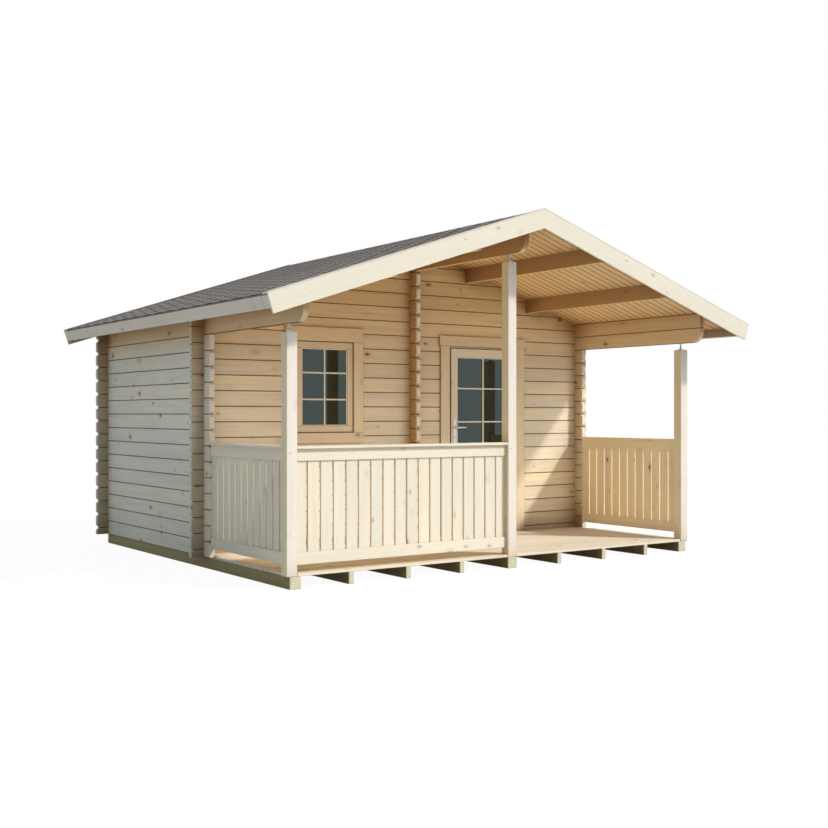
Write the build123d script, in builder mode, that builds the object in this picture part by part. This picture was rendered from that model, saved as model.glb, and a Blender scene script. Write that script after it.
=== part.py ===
from build123d import *
import os
from math import cos, radians, sin, tan

# Timber log cottage with a covered veranda under one low gable roof.
# Lengths are in mm, +Z is up, the veranda faces -Y, and the ground is z = 0.
# The origin lies on the ground, under the middle of the roof.

# Logs and walls
log_pitch = 135
log_thickness = 45
log_end_length = 115
log_groove = 4
log_end_chamfer = 26
room_width = 4300
room_depth = 2350
veranda_depth = 1505
wall_course_count = 14
eave_course_count = 2
sill_course_count = 7
head_course_count = 14

# Base
beam_height = 95
beam_width = 95
beam_back_inset = 15
beam_side_inset = 7
joist_width = 45
joist_spacing = 535
joist_numbers = (-3, -2, -1, 1, 2, 3)
deck_thickness = 22
fit_gap = 2

# Roof
roof_pitch = 18.25
eave_overhang = 400
front_overhang = 420
rear_overhang = 135
roof_board_thickness = 20
roofing_thickness = 10
barge_thickness = 20
barge_width = 145
lath_width = 90
lath_thickness = 12
fascia_width = 97
fascia_thickness = 20
ridge_drop = 288
upper_purlin = 665
lower_purlin = 1445
purlin_depth = 140
beam_end_low = 110
beam_end_high = 215
ridge_end_low = 75
ridge_end_high = 190
end_curve_share = 0.30
end_rise_share = 0.64

# Veranda posts and their screw jacks
post_width = 90
post_proud = 20
post_gap = 62
jack_plate = 56
jack_top_plate = 44
jack_plate_thickness = 4
jack_rod_radius = 8

# Railings, measured up from the top of the beams
rail_thickness = 44
rail_width = 92
rail_board_thickness = 18
rail_low = 82
rail_cap_width = 90
rail_cap_thickness = 22
rail_top = 975
rail_inset = 30
rail_slot = 15
front_board_count = 18
side_board_count = 12

# Door, measured up from the top of the beams
door_centre = 864
leaf_width = 805
leaf_bottom = 50
leaf_top = 1859
leaf_thickness = 40
leaf_front = 12
leaf_gap = 6
leaf_stile = 78
leaf_rail = 83
leaf_bottom_rail = 150
leaf_lock_rail_low = 715
leaf_lock_rail_high = 805
jamb_thickness = 30
stop_width = 14
frame_inside = 10
panel_thickness = 16
glass_thickness = 4

# Casing boards round the door and the window
casing_thickness = 18
door_casing_width = 110
door_casing_reveal = 12
door_head_low = 1882
door_head_height = 100
door_head_ear = 13

# Hinges, lock plate and lever
hinge_low = 300
hinge_high = 1600
hinge_radius = 8
hinge_pin_radius = 5
hinge_fit = 0.05
hinge_half_length = 45
hinge_gap = 6
hinge_tab_thickness = 5
hinge_tab_reach = 34
hinge_stand_off = 12
lock_plate_low = 930
lock_plate_high = 1170
lock_plate_width = 38
lock_plate_thickness = 6
lock_plate_corner = 12
lock_backset = 40
lever_height = 1083
lever_fit = 0.05
lever_neck_radius = 9
lock_bore_depth = 14
lever_neck_length = 40
lever_radius = 9
lever_length = 115

# Window, measured up from the top of the beams
window_left = -1265
window_right = -664
window_low = 1047
window_high = 1873
window_frame_width = 25
sash_width = 62
sash_thickness = 38
sash_front = 6
window_casing_width = 107
window_casing_low = 950
window_casing_high = 2005

# How far every cut runs past what it cuts
overrun = 20

# Places that follow from the sizes above
base = beam_height
deck_top = base + deck_thickness
roof_length = front_overhang + veranda_depth + room_depth + rear_overhang
roof_front = -roof_length / 2
roof_back = roof_length / 2
post_front = roof_front + front_overhang
wall_front = post_front + veranda_depth
wall_back = wall_front + room_depth
wall_half = room_width / 2
post_spread = wall_half + post_proud
wall_middle = wall_half - log_thickness / 2
wall_inner = wall_half - log_thickness
wall_top = base + wall_course_count * log_pitch
eave_top = wall_top + eave_course_count * log_pitch
half_pitch = log_pitch / 2
lap = log_pitch / 4
slope = tan(radians(roof_pitch))
slope_sine = sin(radians(roof_pitch))
slope_cosine = cos(radians(roof_pitch))
peak = eave_top + slope * wall_middle
barge_top = roof_board_thickness + roofing_thickness
lath_top = barge_top + lath_thickness
roof_run = (wall_half + eave_overhang - lath_top * slope_sine) / slope_cosine
gable_half = wall_half + log_end_length
front_split = base + head_course_count * log_pitch + half_pitch
sill_split = base + sill_course_count * log_pitch + half_pitch

sides = {"left": -1, "right": 1}


def under_roof(x):
    """Height of the roof's underside at a distance x from the ridge."""
    return peak - slope * abs(x)


def roof_point(side, run, rise):
    """Point at a run down the slope and a rise square to it, on one side of the ridge."""
    return (side * (run * slope_cosine + rise * slope_sine), peak - run * slope_sine + rise * slope_cosine)


def roof_layer(side, low, high, end):
    """Outline of a layer that lies on one slope, mitred at the ridge and cut square at the eave."""
    return [
        roof_point(side, -low * slope, low),
        roof_point(side, end, low),
        roof_point(side, end, high),
        roof_point(side, -high * slope, high),
    ]


def box_outline(x_low, x_high, z_low, z_high):
    """Corners of an upright rectangle."""
    return [(x_low, z_low), (x_high, z_low), (x_high, z_high), (x_low, z_high)]


def joints_between(first, low, high):
    """Heights of the log joints that lie inside a stack, counted up from the first one."""
    count = round((high - first) / log_pitch) + 1
    heights = [first + number * log_pitch for number in range(count)]
    return [height for height in heights if low + log_groove < height < high - log_groove]


def log_stack(outer, inner, low, tops, first, grooved_low):
    """Cross-section of a stack of logs with a V groove on both faces at every joint."""
    outer_top, inner_top = tops
    turn = log_groove if inner > outer else -log_groove
    heights = joints_between(first, low, min(tops))
    start = log_groove if grooved_low else 0
    points = [(outer + (turn if grooved_low else 0), low), (outer, low + start)]
    for height in heights:
        points += [(outer, height - log_groove), (outer + turn, height), (outer, height + log_groove)]
    points += [(outer, outer_top), (inner, inner_top)]
    for height in reversed(heights):
        points += [(inner, height + log_groove), (inner - turn, height), (inner, height - log_groove)]
    points += [(inner, low + start), (inner - (turn if grooved_low else 0), low)]
    return [point for place, point in enumerate(points) if point not in points[:place]]


def laps(near, far, first, low, high):
    """Rectangles cut from a stack where the logs of the crossing wall pass through it."""
    count = round((high - first) / log_pitch) + 1
    heights = [first + number * log_pitch for number in range(count)]
    bands = [(max(height - lap, low - overrun), min(height + lap, high + overrun)) for height in heights]
    return [box_outline(near, far, *band) for band in bands if band[0] < high and band[1] > low]


def end_notches(end, inward, first, low, high):
    """Triangles cut from the free ends of a stack, so that every log end has bevelled corners."""
    deep = end + inward * log_end_chamfer
    heights = joints_between(first, low, high)
    steps = (-log_end_chamfer, log_end_chamfer)
    return [[(end, height + steps[0]), (deep, height), (end, height + steps[1])] for height in heights]


def across(y):
    """Upright plane along the front, at a depth y. What is raised from it comes forwards."""
    return Plane.XZ.offset(-y)


def save(piece, name):
    """Label a finished piece and write it out."""
    piece.part.label = name
    export_step(piece.part, f"parts/{name}.step")


# Purlin sections, used for the purlins and for the seats cut in the gables
ridge_section = [
    (-log_thickness / 2, peak - ridge_drop),
    (log_thickness / 2, peak - ridge_drop),
    (log_thickness / 2, under_roof(log_thickness / 2)),
    (0, peak),
    (-log_thickness / 2, under_roof(log_thickness / 2)),
]
purlin_sections = []
for hand in sides.values():
    for place in (upper_purlin, lower_purlin):
        near = hand * (place - log_thickness / 2)
        far = hand * (place + log_thickness / 2)
        bottom = under_roof(near) - purlin_depth
        corners = [(near, bottom), (far, bottom), (far, under_roof(far)), (near, under_roof(near))]
        purlin_sections.append(corners)

os.makedirs("parts", exist_ok=True)

# Base: three wide beams under the posts and six joists between them
with BuildPart() as base_beams:
    beam_back = wall_back - beam_back_inset
    with BuildSketch(across(beam_back)):
        outer_beam = wall_half - beam_side_inset - beam_width / 2
        for middle in (-outer_beam, 0, outer_beam):
            Polygon(*box_outline(middle - beam_width / 2, middle + beam_width / 2, 0, base), align=None)
        for number in joist_numbers:
            middle = number * joist_spacing
            Polygon(*box_outline(middle - joist_width / 2, middle + joist_width / 2, 0, base), align=None)
    extrude(amount=beam_back - post_front)
save(base_beams, "base_beams")

# Veranda deck, notched round the posts and round the log ends at the wall
with BuildPart() as veranda_deck:
    with BuildSketch(Plane.XY.offset(base)):
        Polygon(*box_outline(-wall_half, wall_half, post_front, wall_front), align=None)
        for middle in (-post_spread + post_width / 2, 0, post_spread - post_width / 2):
            reach = post_width / 2 + fit_gap
            post_back = post_front + post_width + fit_gap
            notch = box_outline(middle - reach, middle + reach, post_front - overrun, post_back)
            Polygon(*notch, align=None, mode=Mode.SUBTRACT)
        for hand in sides.values():
            edge = hand * (wall_inner - fit_gap)
            outside = hand * (wall_half + overrun)
            start = wall_front - log_end_length - fit_gap
            notch = box_outline(min(edge, outside), max(edge, outside), start, wall_front + overrun)
            Polygon(*notch, align=None, mode=Mode.SUBTRACT)
    extrude(amount=deck_thickness)
save(veranda_deck, "veranda_deck")

# Floor of the room, between the walls
with BuildPart() as room_floor:
    with BuildSketch(Plane.XY.offset(base)):
        inside_front = wall_front + log_thickness + frame_inside + fit_gap
        inside = box_outline(-wall_inner, wall_inner, inside_front, wall_back - log_thickness)
        Polygon(*inside, align=None)
    extrude(amount=deck_thickness)
save(room_floor, "room_floor")

# Side walls: full logs, half-lapped with the front and back walls at the corners
stack_front = wall_front - log_end_length
stack_back = wall_back + log_end_length
for name, hand in sides.items():
    with BuildPart() as side_wall:
        with BuildSketch(across(stack_back)):
            section = log_stack(hand * wall_half, hand * wall_inner, base, (wall_top, wall_top), base, False)
            Polygon(*section, align=None)
        extrude(amount=stack_back - stack_front)
        with BuildSketch(Plane.YZ.offset(hand * wall_middle)):
            for crossing in (wall_front, wall_back - log_thickness):
                for notch in laps(crossing, crossing + log_thickness, base, base, wall_top):
                    Polygon(*notch, align=None)
            for end, inward in ((stack_front, 1), (stack_back, -1)):
                for notch in end_notches(end, inward, base, base, wall_top):
                    Polygon(*notch, align=None)
        extrude(amount=log_thickness, both=True, mode=Mode.SUBTRACT)
    save(side_wall, f"{name}_wall")

# Eave beams: the two top logs of each side wall run on over the veranda.
# Their ends are cut upright, and rounded off below.
plate_front = roof_front + barge_thickness
end_rise = log_pitch * end_rise_share
for name, hand in sides.items():
    with BuildPart() as eave_beam:
        with BuildSketch(across(stack_back)):
            tops = (under_roof(wall_half), under_roof(wall_inner))
            section = log_stack(hand * wall_half, hand * wall_inner, wall_top, tops, wall_top, True)
            Polygon(*section, align=None)
        extrude(amount=stack_back - plate_front)
        with BuildSketch(Plane.YZ.offset(hand * wall_middle)):
            for crossing in (wall_front, wall_back - log_thickness):
                for notch in laps(crossing, crossing + log_thickness, wall_top, wall_top, eave_top):
                    Polygon(*notch, align=None)
            with BuildLine():
                low_end = (post_front - beam_end_low, wall_top)
                high_end = (post_front - beam_end_high, wall_top + end_rise)
                bend = (
                    high_end[0] + (low_end[0] - high_end[0]) * end_curve_share,
                    low_end[1] + (high_end[1] - low_end[1]) * end_curve_share,
                )
                ThreePointArc(high_end, bend, low_end)
                Polyline(
                    low_end,
                    (low_end[0], wall_top - overrun),
                    (plate_front - overrun, wall_top - overrun),
                    (plate_front - overrun, peak),
                    (high_end[0], peak),
                    high_end,
                )
            make_face()
        extrude(amount=log_thickness, both=True, mode=Mode.SUBTRACT)
    save(eave_beam, f"{name}_eave_beam")

# Back wall: half-offset courses up to the roof, with seats for the purlins
first_cross_joint = base + half_pitch
gable_outline = [
    (-gable_half, base),
    (gable_half, base),
    (gable_half, under_roof(gable_half)),
    (0, peak),
    (-gable_half, under_roof(gable_half)),
]
with BuildPart() as back_wall:
    with BuildSketch(Plane.YZ.offset(-gable_half)):
        section = log_stack(
            wall_back, wall_back - log_thickness, base, (peak, peak), first_cross_joint, False
        )
        Polygon(*section, align=None)
    extrude(amount=2 * gable_half)
    with BuildSketch(across(wall_back + overrun)):
        Polygon(*gable_outline, align=None)
    extrude(amount=log_thickness + 2 * overrun, mode=Mode.INTERSECT)
    with BuildSketch(across(wall_back + overrun)):
        for hand in sides.values():
            near = min(hand * wall_inner, hand * wall_half)
            for notch in laps(near, near + log_thickness, first_cross_joint, base, eave_top):
                Polygon(*notch, align=None)
            roof_here = under_roof(gable_half)
            for notch in end_notches(hand * gable_half, -hand, first_cross_joint, base, roof_here):
                Polygon(*notch, align=None)
        for seat in (ridge_section, *purlin_sections):
            Polygon(*seat, align=None)
    extrude(amount=log_thickness + 2 * overrun, mode=Mode.SUBTRACT)
save(back_wall, "back_wall")

# Front wall, split beside and over the door and the window.
# Each piece is its own run of logs: x from, x to, bottom and top.
door_left = door_centre - leaf_width / 2 - leaf_gap - jamb_thickness
door_right = door_centre + leaf_width / 2 + leaf_gap + jamb_thickness
glazed_left = window_left - window_frame_width
glazed_right = window_right + window_frame_width
front_runs = {
    "front_wall_base": (-gable_half, door_left, base, sill_split),
    "front_wall_left_pier": (-gable_half, glazed_left, sill_split, front_split),
    "front_wall_middle_pier": (glazed_right, door_left, sill_split, front_split),
    "front_wall_right_pier": (door_right, gable_half, base, front_split),
    "front_gable": (-gable_half, gable_half, front_split, peak),
}
for name, (start, stop, low, high) in front_runs.items():
    with BuildPart() as front_run:
        with BuildSketch(Plane.YZ.offset(start)):
            section = log_stack(
                wall_front, wall_front + log_thickness, low, (high, high), first_cross_joint, low > base
            )
            Polygon(*section, align=None)
        extrude(amount=stop - start)
        with BuildSketch(across(wall_front + log_thickness + overrun)):
            Polygon(*gable_outline, align=None)
        extrude(amount=log_thickness + 2 * overrun, mode=Mode.INTERSECT)
        with BuildSketch(across(wall_front + log_thickness + overrun)):
            for near in (-wall_half, -log_thickness / 2, wall_inner):
                if start <= near and near + log_thickness <= stop:
                    roof_here = peak if abs(near) < log_thickness else eave_top
                    top = min(high, roof_here)
                    for notch in laps(near, near + log_thickness, first_cross_joint, low, top):
                        Polygon(*notch, align=None)
            for end, inward in ((-gable_half, 1), (gable_half, -1)):
                if end in (start, stop):
                    top = min(high, under_roof(end))
                    for notch in end_notches(end, inward, first_cross_joint, low, top):
                        Polygon(*notch, align=None)
            if high == peak:
                for seat in (ridge_section, *purlin_sections):
                    Polygon(*seat, align=None)
        extrude(amount=log_thickness + 2 * overrun, mode=Mode.SUBTRACT)
    save(front_run, name)

# Column of crossing log ends in the middle of the front wall, lapped into it like the corners
column_top = peak - ridge_drop
with BuildPart() as crossing_log_ends:
    with BuildSketch(across(wall_front + log_thickness)):
        section = log_stack(
            -log_thickness / 2, log_thickness / 2, deck_top, (column_top, column_top), base, False
        )
        Polygon(*section, align=None)
    extrude(amount=log_thickness + log_end_length)
    with BuildSketch(Plane.YZ):
        for notch in laps(wall_front, wall_front + log_thickness + overrun, base, deck_top, column_top):
            Polygon(*notch, align=None)
        for notch in end_notches(stack_front, 1, base, deck_top, column_top):
            Polygon(*notch, align=None)
    extrude(amount=log_thickness, both=True, mode=Mode.SUBTRACT)
save(crossing_log_ends, "crossing_log_ends")

# Ridge purlin: its front end is cut like those of the eave beams
purlin_back = roof_back - barge_thickness
with BuildPart() as ridge_purlin:
    with BuildSketch(across(purlin_back)):
        Polygon(*ridge_section, align=None)
    extrude(amount=purlin_back - plate_front)
    with BuildSketch(Plane.YZ):
        with BuildLine():
            low_end = (post_front - ridge_end_low, peak - ridge_drop)
            high_end = (post_front - ridge_end_high, peak - ridge_drop + end_rise)
            bend = (
                high_end[0] + (low_end[0] - high_end[0]) * end_curve_share,
                low_end[1] + (high_end[1] - low_end[1]) * end_curve_share,
            )
            ThreePointArc(high_end, bend, low_end)
            Polyline(
                low_end,
                (low_end[0], peak - ridge_drop - overrun),
                (plate_front - overrun, peak - ridge_drop - overrun),
                (plate_front - overrun, peak + overrun),
                (high_end[0], peak + overrun),
                high_end,
            )
        make_face()
    extrude(amount=log_thickness, both=True, mode=Mode.SUBTRACT)
save(ridge_purlin, "ridge_purlin")

# Four purlins between the ridge and the eaves, bevelled to the slope
with BuildPart() as middle_purlins:
    with BuildSketch(across(purlin_back)):
        for section in purlin_sections:
            Polygon(*section, align=None)
    extrude(amount=purlin_back - plate_front)
save(middle_purlins, "middle_purlins")

# Roof: boards, roofing and eave fascias lie between the barge boards of the two gables
for name, hand in sides.items():
    with BuildPart() as roof_boards:
        with BuildSketch(across(purlin_back)):
            Polygon(*roof_layer(hand, 0, roof_board_thickness, roof_run - fascia_thickness), align=None)
        extrude(amount=purlin_back - plate_front)
    save(roof_boards, f"{name}_roof_boards")

    with BuildPart() as roofing:
        with BuildSketch(across(purlin_back)):
            top = roof_board_thickness + roofing_thickness
            Polygon(*roof_layer(hand, roof_board_thickness, top, roof_run), align=None)
        extrude(amount=purlin_back - plate_front)
    save(roofing, f"{name}_roofing")

    with BuildPart() as fascia:
        with BuildSketch(across(purlin_back)):
            foot = roof_board_thickness - fascia_width
            board = [
                roof_point(hand, roof_run - fascia_thickness, foot),
                roof_point(hand, roof_run, foot),
                roof_point(hand, roof_run, roof_board_thickness),
                roof_point(hand, roof_run - fascia_thickness, roof_board_thickness),
            ]
            Polygon(*board, align=None)
        extrude(amount=purlin_back - plate_front)
    save(fascia, f"{name}_fascia")

    for gable, depth in (("front", plate_front), ("rear", roof_back)):
        with BuildPart() as barge_board:
            with BuildSketch(across(depth)):
                Polygon(*roof_layer(hand, barge_top - barge_width, barge_top, roof_run), align=None)
            extrude(amount=barge_thickness)
        save(barge_board, f"{gable}_{name}_barge_board")

    with BuildPart() as gable_laths:
        for depth in (roof_front + lath_width, roof_back):
            with BuildSketch(across(depth)):
                Polygon(*roof_layer(hand, barge_top, lath_top, roof_run), align=None)
            extrude(amount=lath_width)
    save(gable_laths, f"{name}_gable_laths")

# Veranda posts stand on the wide beams
outer_post_top = wall_top - post_gap
middle_post_top = peak - ridge_drop - post_gap
post_middle = post_spread - post_width / 2
post_tops = {-post_middle: outer_post_top, 0: middle_post_top, post_middle: outer_post_top}
with BuildPart() as veranda_posts:
    for middle, top in post_tops.items():
        with BuildSketch(across(post_front + post_width)):
            Polygon(*box_outline(middle - post_width / 2, middle + post_width / 2, base, top), align=None)
        extrude(amount=post_width)
save(veranda_posts, "veranda_posts")

# Screw jacks between the posts and what they carry
with BuildPart() as post_jacks:
    for middle, top in post_tops.items():
        carried = middle if middle == 0 else middle / post_middle * wall_middle
        with BuildSketch(Plane.XY.offset(top)):
            with Locations((middle, post_front + post_width / 2)):
                Rectangle(jack_plate, jack_plate)
        extrude(amount=jack_plate_thickness)
        with BuildSketch(Plane.XY.offset(top + jack_plate_thickness)):
            with Locations((middle, post_front + post_width / 2)):
                Circle(jack_rod_radius)
        extrude(amount=post_gap - 2 * jack_plate_thickness)
        with BuildSketch(Plane.XY.offset(top + post_gap - jack_plate_thickness)):
            with Locations((carried, post_front + post_width / 2)):
                Rectangle(jack_top_plate - 2 * log_groove, jack_plate)
        extrude(amount=jack_plate_thickness)
save(post_jacks, "post_jacks")

# Railings: upright boards let into the middle of a top and a bottom rail, under a cap
cap_low = base + rail_top - rail_cap_thickness
board_set_in = (rail_thickness - rail_board_thickness) / 2
rail_heights = ((base + rail_low, base + rail_low + rail_width), (cap_low - rail_width, cap_low))


def rail_boards(start, stop, count):
    """Left and right edges of upright boards set with equal slots between two ends."""
    pitch = (stop - start + rail_slot) / count
    return [(start + number * pitch, start + (number + 1) * pitch - rail_slot) for number in range(count)]


front_left = -post_spread + post_width
front_right = -post_width / 2
rail_face = post_front + rail_inset
with BuildPart() as front_railing:
    with BuildSketch(across(rail_face + board_set_in + rail_board_thickness)):
        for left, right in rail_boards(front_left, front_right, front_board_count):
            Polygon(*box_outline(left, right, base + rail_low, cap_low), align=None)
    extrude(amount=rail_board_thickness)
    with BuildSketch(across(rail_face + rail_thickness)):
        for low, high in rail_heights:
            Polygon(*box_outline(front_left, front_right, low, high), align=None)
    extrude(amount=rail_thickness)
    with BuildSketch(across(post_front + rail_cap_width)):
        Polygon(*box_outline(front_left, front_right, cap_low, base + rail_top), align=None)
    extrude(amount=rail_cap_width)
save(front_railing, "front_railing")

side_front = post_front + post_width
side_back = stack_front
for name, hand in sides.items():
    rail_outer = hand * (post_spread - rail_inset)
    with BuildPart() as side_railing:
        with BuildSketch(Plane.YZ.offset(rail_outer - hand * board_set_in)):
            for near, far in rail_boards(side_front, side_back, side_board_count):
                Polygon(*box_outline(near, far, base + rail_low, cap_low), align=None)
        extrude(amount=-hand * rail_board_thickness)
        with BuildSketch(Plane.YZ.offset(rail_outer)):
            for low, high in rail_heights:
                Polygon(*box_outline(side_front, side_back, low, high), align=None)
        extrude(amount=-hand * rail_thickness)
        with BuildSketch(Plane.YZ.offset(hand * post_spread)):
            Polygon(*box_outline(side_front, side_back, cap_low, base + rail_top), align=None)
        extrude(amount=-hand * rail_cap_width)
    save(side_railing, f"{name}_railing")

# Door frame: a ring in the wall with a stop behind the leaf
leaf_left = door_centre - leaf_width / 2
leaf_right = door_centre + leaf_width / 2
leaf_face = wall_front - leaf_front
leaf_back = leaf_face + leaf_thickness
frame_back = wall_front + log_thickness + frame_inside
with BuildPart() as door_frame:
    with BuildSketch(across(frame_back)):
        Polygon(*box_outline(door_left, door_right, base, front_split), align=None)
    extrude(amount=frame_back - wall_front)
    with BuildSketch(across(frame_back + overrun)):
        clear = box_outline(
            leaf_left - leaf_gap + stop_width,
            leaf_right + leaf_gap - stop_width,
            base + leaf_bottom - leaf_gap,
            base + leaf_top + leaf_gap - stop_width,
        )
        Polygon(*clear, align=None)
    extrude(amount=frame_back - wall_front + 2 * overrun, mode=Mode.SUBTRACT)
    with BuildSketch(across(leaf_back + leaf_gap)):
        rebate = box_outline(
            leaf_left - leaf_gap,
            leaf_right + leaf_gap,
            base + leaf_bottom - leaf_gap,
            base + leaf_top + leaf_gap,
        )
        Polygon(*rebate, align=None)
    extrude(amount=leaf_back + leaf_gap - wall_front + overrun, mode=Mode.SUBTRACT)
save(door_frame, "door_frame")

# Door casing: two side boards and a head that runs a little past them
casing_inner_left = leaf_left - leaf_gap - door_casing_reveal
casing_inner_right = leaf_right + leaf_gap + door_casing_reveal
casing_left = casing_inner_left - door_casing_width
casing_right = casing_inner_right + door_casing_width
with BuildPart() as door_casing:
    with BuildSketch(across(wall_front)):
        for start, stop in ((casing_left, casing_inner_left), (casing_inner_right, casing_right)):
            Polygon(*box_outline(start, stop, deck_top, base + door_head_low), align=None)
        head = box_outline(
            casing_left - door_head_ear,
            casing_right + door_head_ear,
            base + door_head_low,
            base + door_head_low + door_head_height,
        )
        Polygon(*head, align=None)
    extrude(amount=casing_thickness)
save(door_casing, "door_casing")

# Door leaf: stiles and rails round a glazed upper part and a panelled lower part
glass_low = base + leaf_lock_rail_high
glass_high = base + leaf_top - leaf_rail
panel_low = base + leaf_bottom + leaf_bottom_rail
panel_high = base + leaf_lock_rail_low
light_left = leaf_left + leaf_stile
light_right = leaf_right - leaf_stile
leaf_middle = leaf_face + leaf_thickness / 2
lock_x = leaf_left + lock_backset
with BuildPart() as door_leaf:
    with BuildSketch(across(leaf_back)):
        Polygon(*box_outline(leaf_left, leaf_right, base + leaf_bottom, base + leaf_top), align=None)
        for low, high in ((panel_low, panel_high), (glass_low, glass_high)):
            Polygon(*box_outline(light_left, light_right, low, high), align=None, mode=Mode.SUBTRACT)
    extrude(amount=leaf_thickness)
    with BuildSketch(across(leaf_face + lock_bore_depth)):
        with Locations((lock_x, base + lever_height)):
            Circle(lever_neck_radius + leaf_gap)
    extrude(amount=lock_bore_depth + overrun, mode=Mode.SUBTRACT)
save(door_leaf, "door_leaf")

with BuildPart() as door_panel:
    with BuildSketch(across(leaf_middle + panel_thickness / 2)):
        Polygon(*box_outline(light_left, light_right, panel_low, panel_high), align=None)
    extrude(amount=panel_thickness)
save(door_panel, "door_panel")

with BuildPart() as door_glass:
    with BuildSketch(across(leaf_middle + glass_thickness / 2)):
        Polygon(*box_outline(light_left, light_right, glass_low, glass_high), align=None)
    extrude(amount=glass_thickness)
save(door_glass, "door_glass")

# Lift-off hinges on the right: pins and lower knuckles on the frame, upper knuckles on the leaf
hinge_heights = (hinge_low, hinge_high)
hinge_x = leaf_right + leaf_gap / 2
hinge_y = wall_front - casing_thickness - hinge_stand_off
frame_tab_back = wall_front - casing_thickness
leaf_tab_front = leaf_face - hinge_tab_thickness
with BuildPart() as hinge_pins:
    for height in hinge_heights:
        with BuildSketch(Plane.XY.offset(base + height - hinge_half_length)):
            with Locations((hinge_x, hinge_y)):
                Circle(hinge_radius)
            tab_end = casing_inner_right + hinge_tab_reach
            tab = box_outline(hinge_x, tab_end, frame_tab_back - hinge_tab_thickness, frame_tab_back)
            Polygon(*tab, align=None)
            web = box_outline(hinge_x, hinge_x + hinge_radius, hinge_y, frame_tab_back)
            Polygon(*web, align=None)
        extrude(amount=hinge_half_length - hinge_gap / 2)
        with BuildSketch(Plane.XY.offset(base + height - hinge_gap / 2)):
            with Locations((hinge_x, hinge_y)):
                Circle(hinge_pin_radius)
        extrude(amount=hinge_half_length)
save(hinge_pins, "hinge_pins")

with BuildPart() as hinge_knuckles:
    for height in hinge_heights:
        with BuildSketch(Plane.XY.offset(base + height + hinge_gap / 2)):
            with Locations((hinge_x, hinge_y)):
                Circle(hinge_radius)
            web = box_outline(hinge_x - hinge_radius, hinge_x, hinge_y, leaf_face)
            Polygon(*web, align=None)
            tab = box_outline(leaf_right - hinge_tab_reach, hinge_x, leaf_tab_front, leaf_face)
            Polygon(*tab, align=None)
            with Locations((hinge_x, hinge_y)):
                Circle(hinge_pin_radius + hinge_fit, mode=Mode.SUBTRACT)
        extrude(amount=hinge_half_length - hinge_gap / 2)
save(hinge_knuckles, "hinge_knuckles")

# Long lock plate on the left stile, with a lever whose neck turns in it
plate_face = leaf_face - lock_plate_thickness
with BuildPart() as lock_plate:
    with BuildSketch(across(leaf_face)):
        outline = box_outline(
            lock_x - lock_plate_width / 2,
            lock_x + lock_plate_width / 2,
            base + lock_plate_low,
            base + lock_plate_high,
        )
        Polygon(*outline, align=None)
    extrude(amount=lock_plate_thickness)
    fillet(lock_plate.edges().filter_by(Axis.Y), lock_plate_corner)
    with BuildSketch(across(leaf_face + overrun)):
        with Locations((lock_x, base + lever_height)):
            Circle(lever_neck_radius + lever_fit)
    extrude(amount=lock_plate_thickness + 2 * overrun, mode=Mode.SUBTRACT)
save(lock_plate, "lock_plate")

with BuildPart() as door_lever:
    with BuildSketch(across(leaf_face)):
        with Locations((lock_x, base + lever_height)):
            Circle(lever_neck_radius)
    extrude(amount=lock_plate_thickness + lever_neck_length)
    with BuildSketch(Plane.YZ.offset(lock_x)):
        with Locations((plate_face - lever_neck_length, base + lever_height)):
            Circle(lever_radius)
    extrude(amount=lever_length)
save(door_lever, "door_lever")

# Window: a fixed frame with its sash, set between the casing boards
window_back = wall_front + log_thickness
sash_face = wall_front - sash_front
light = (
    window_left + sash_width,
    window_right - sash_width,
    base + window_low + sash_width,
    base + window_high - sash_width,
)
with BuildPart() as window_frame:
    with BuildSketch(across(window_back)):
        Polygon(*box_outline(glazed_left, glazed_right, sill_split, front_split), align=None)
        Polygon(*box_outline(*light), align=None, mode=Mode.SUBTRACT)
    extrude(amount=log_thickness)
    with BuildSketch(across(wall_front)):
        sash = box_outline(window_left, window_right, base + window_low, base + window_high)
        Polygon(*sash, align=None)
        Polygon(*box_outline(*light), align=None, mode=Mode.SUBTRACT)
    extrude(amount=sash_front)
save(window_frame, "window_frame")

with BuildPart() as window_casing:
    with BuildSketch(across(wall_front)):
        outline = box_outline(
            window_left - window_casing_width,
            window_right + window_casing_width,
            base + window_casing_low,
            base + window_casing_high,
        )
        Polygon(*outline, align=None)
        clear = box_outline(
            window_left - fit_gap,
            window_right + fit_gap,
            base + window_low - fit_gap,
            base + window_high + fit_gap,
        )
        Polygon(*clear, align=None, mode=Mode.SUBTRACT)
    extrude(amount=casing_thickness)
save(window_casing, "window_casing")

with BuildPart() as window_glass:
    with BuildSketch(across(sash_face + sash_thickness / 2)):
        Polygon(*box_outline(*light), align=None)
    extrude(amount=glass_thickness)
save(window_glass, "window_glass")
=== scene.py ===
from math import cos, pi, radians, sin

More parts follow.
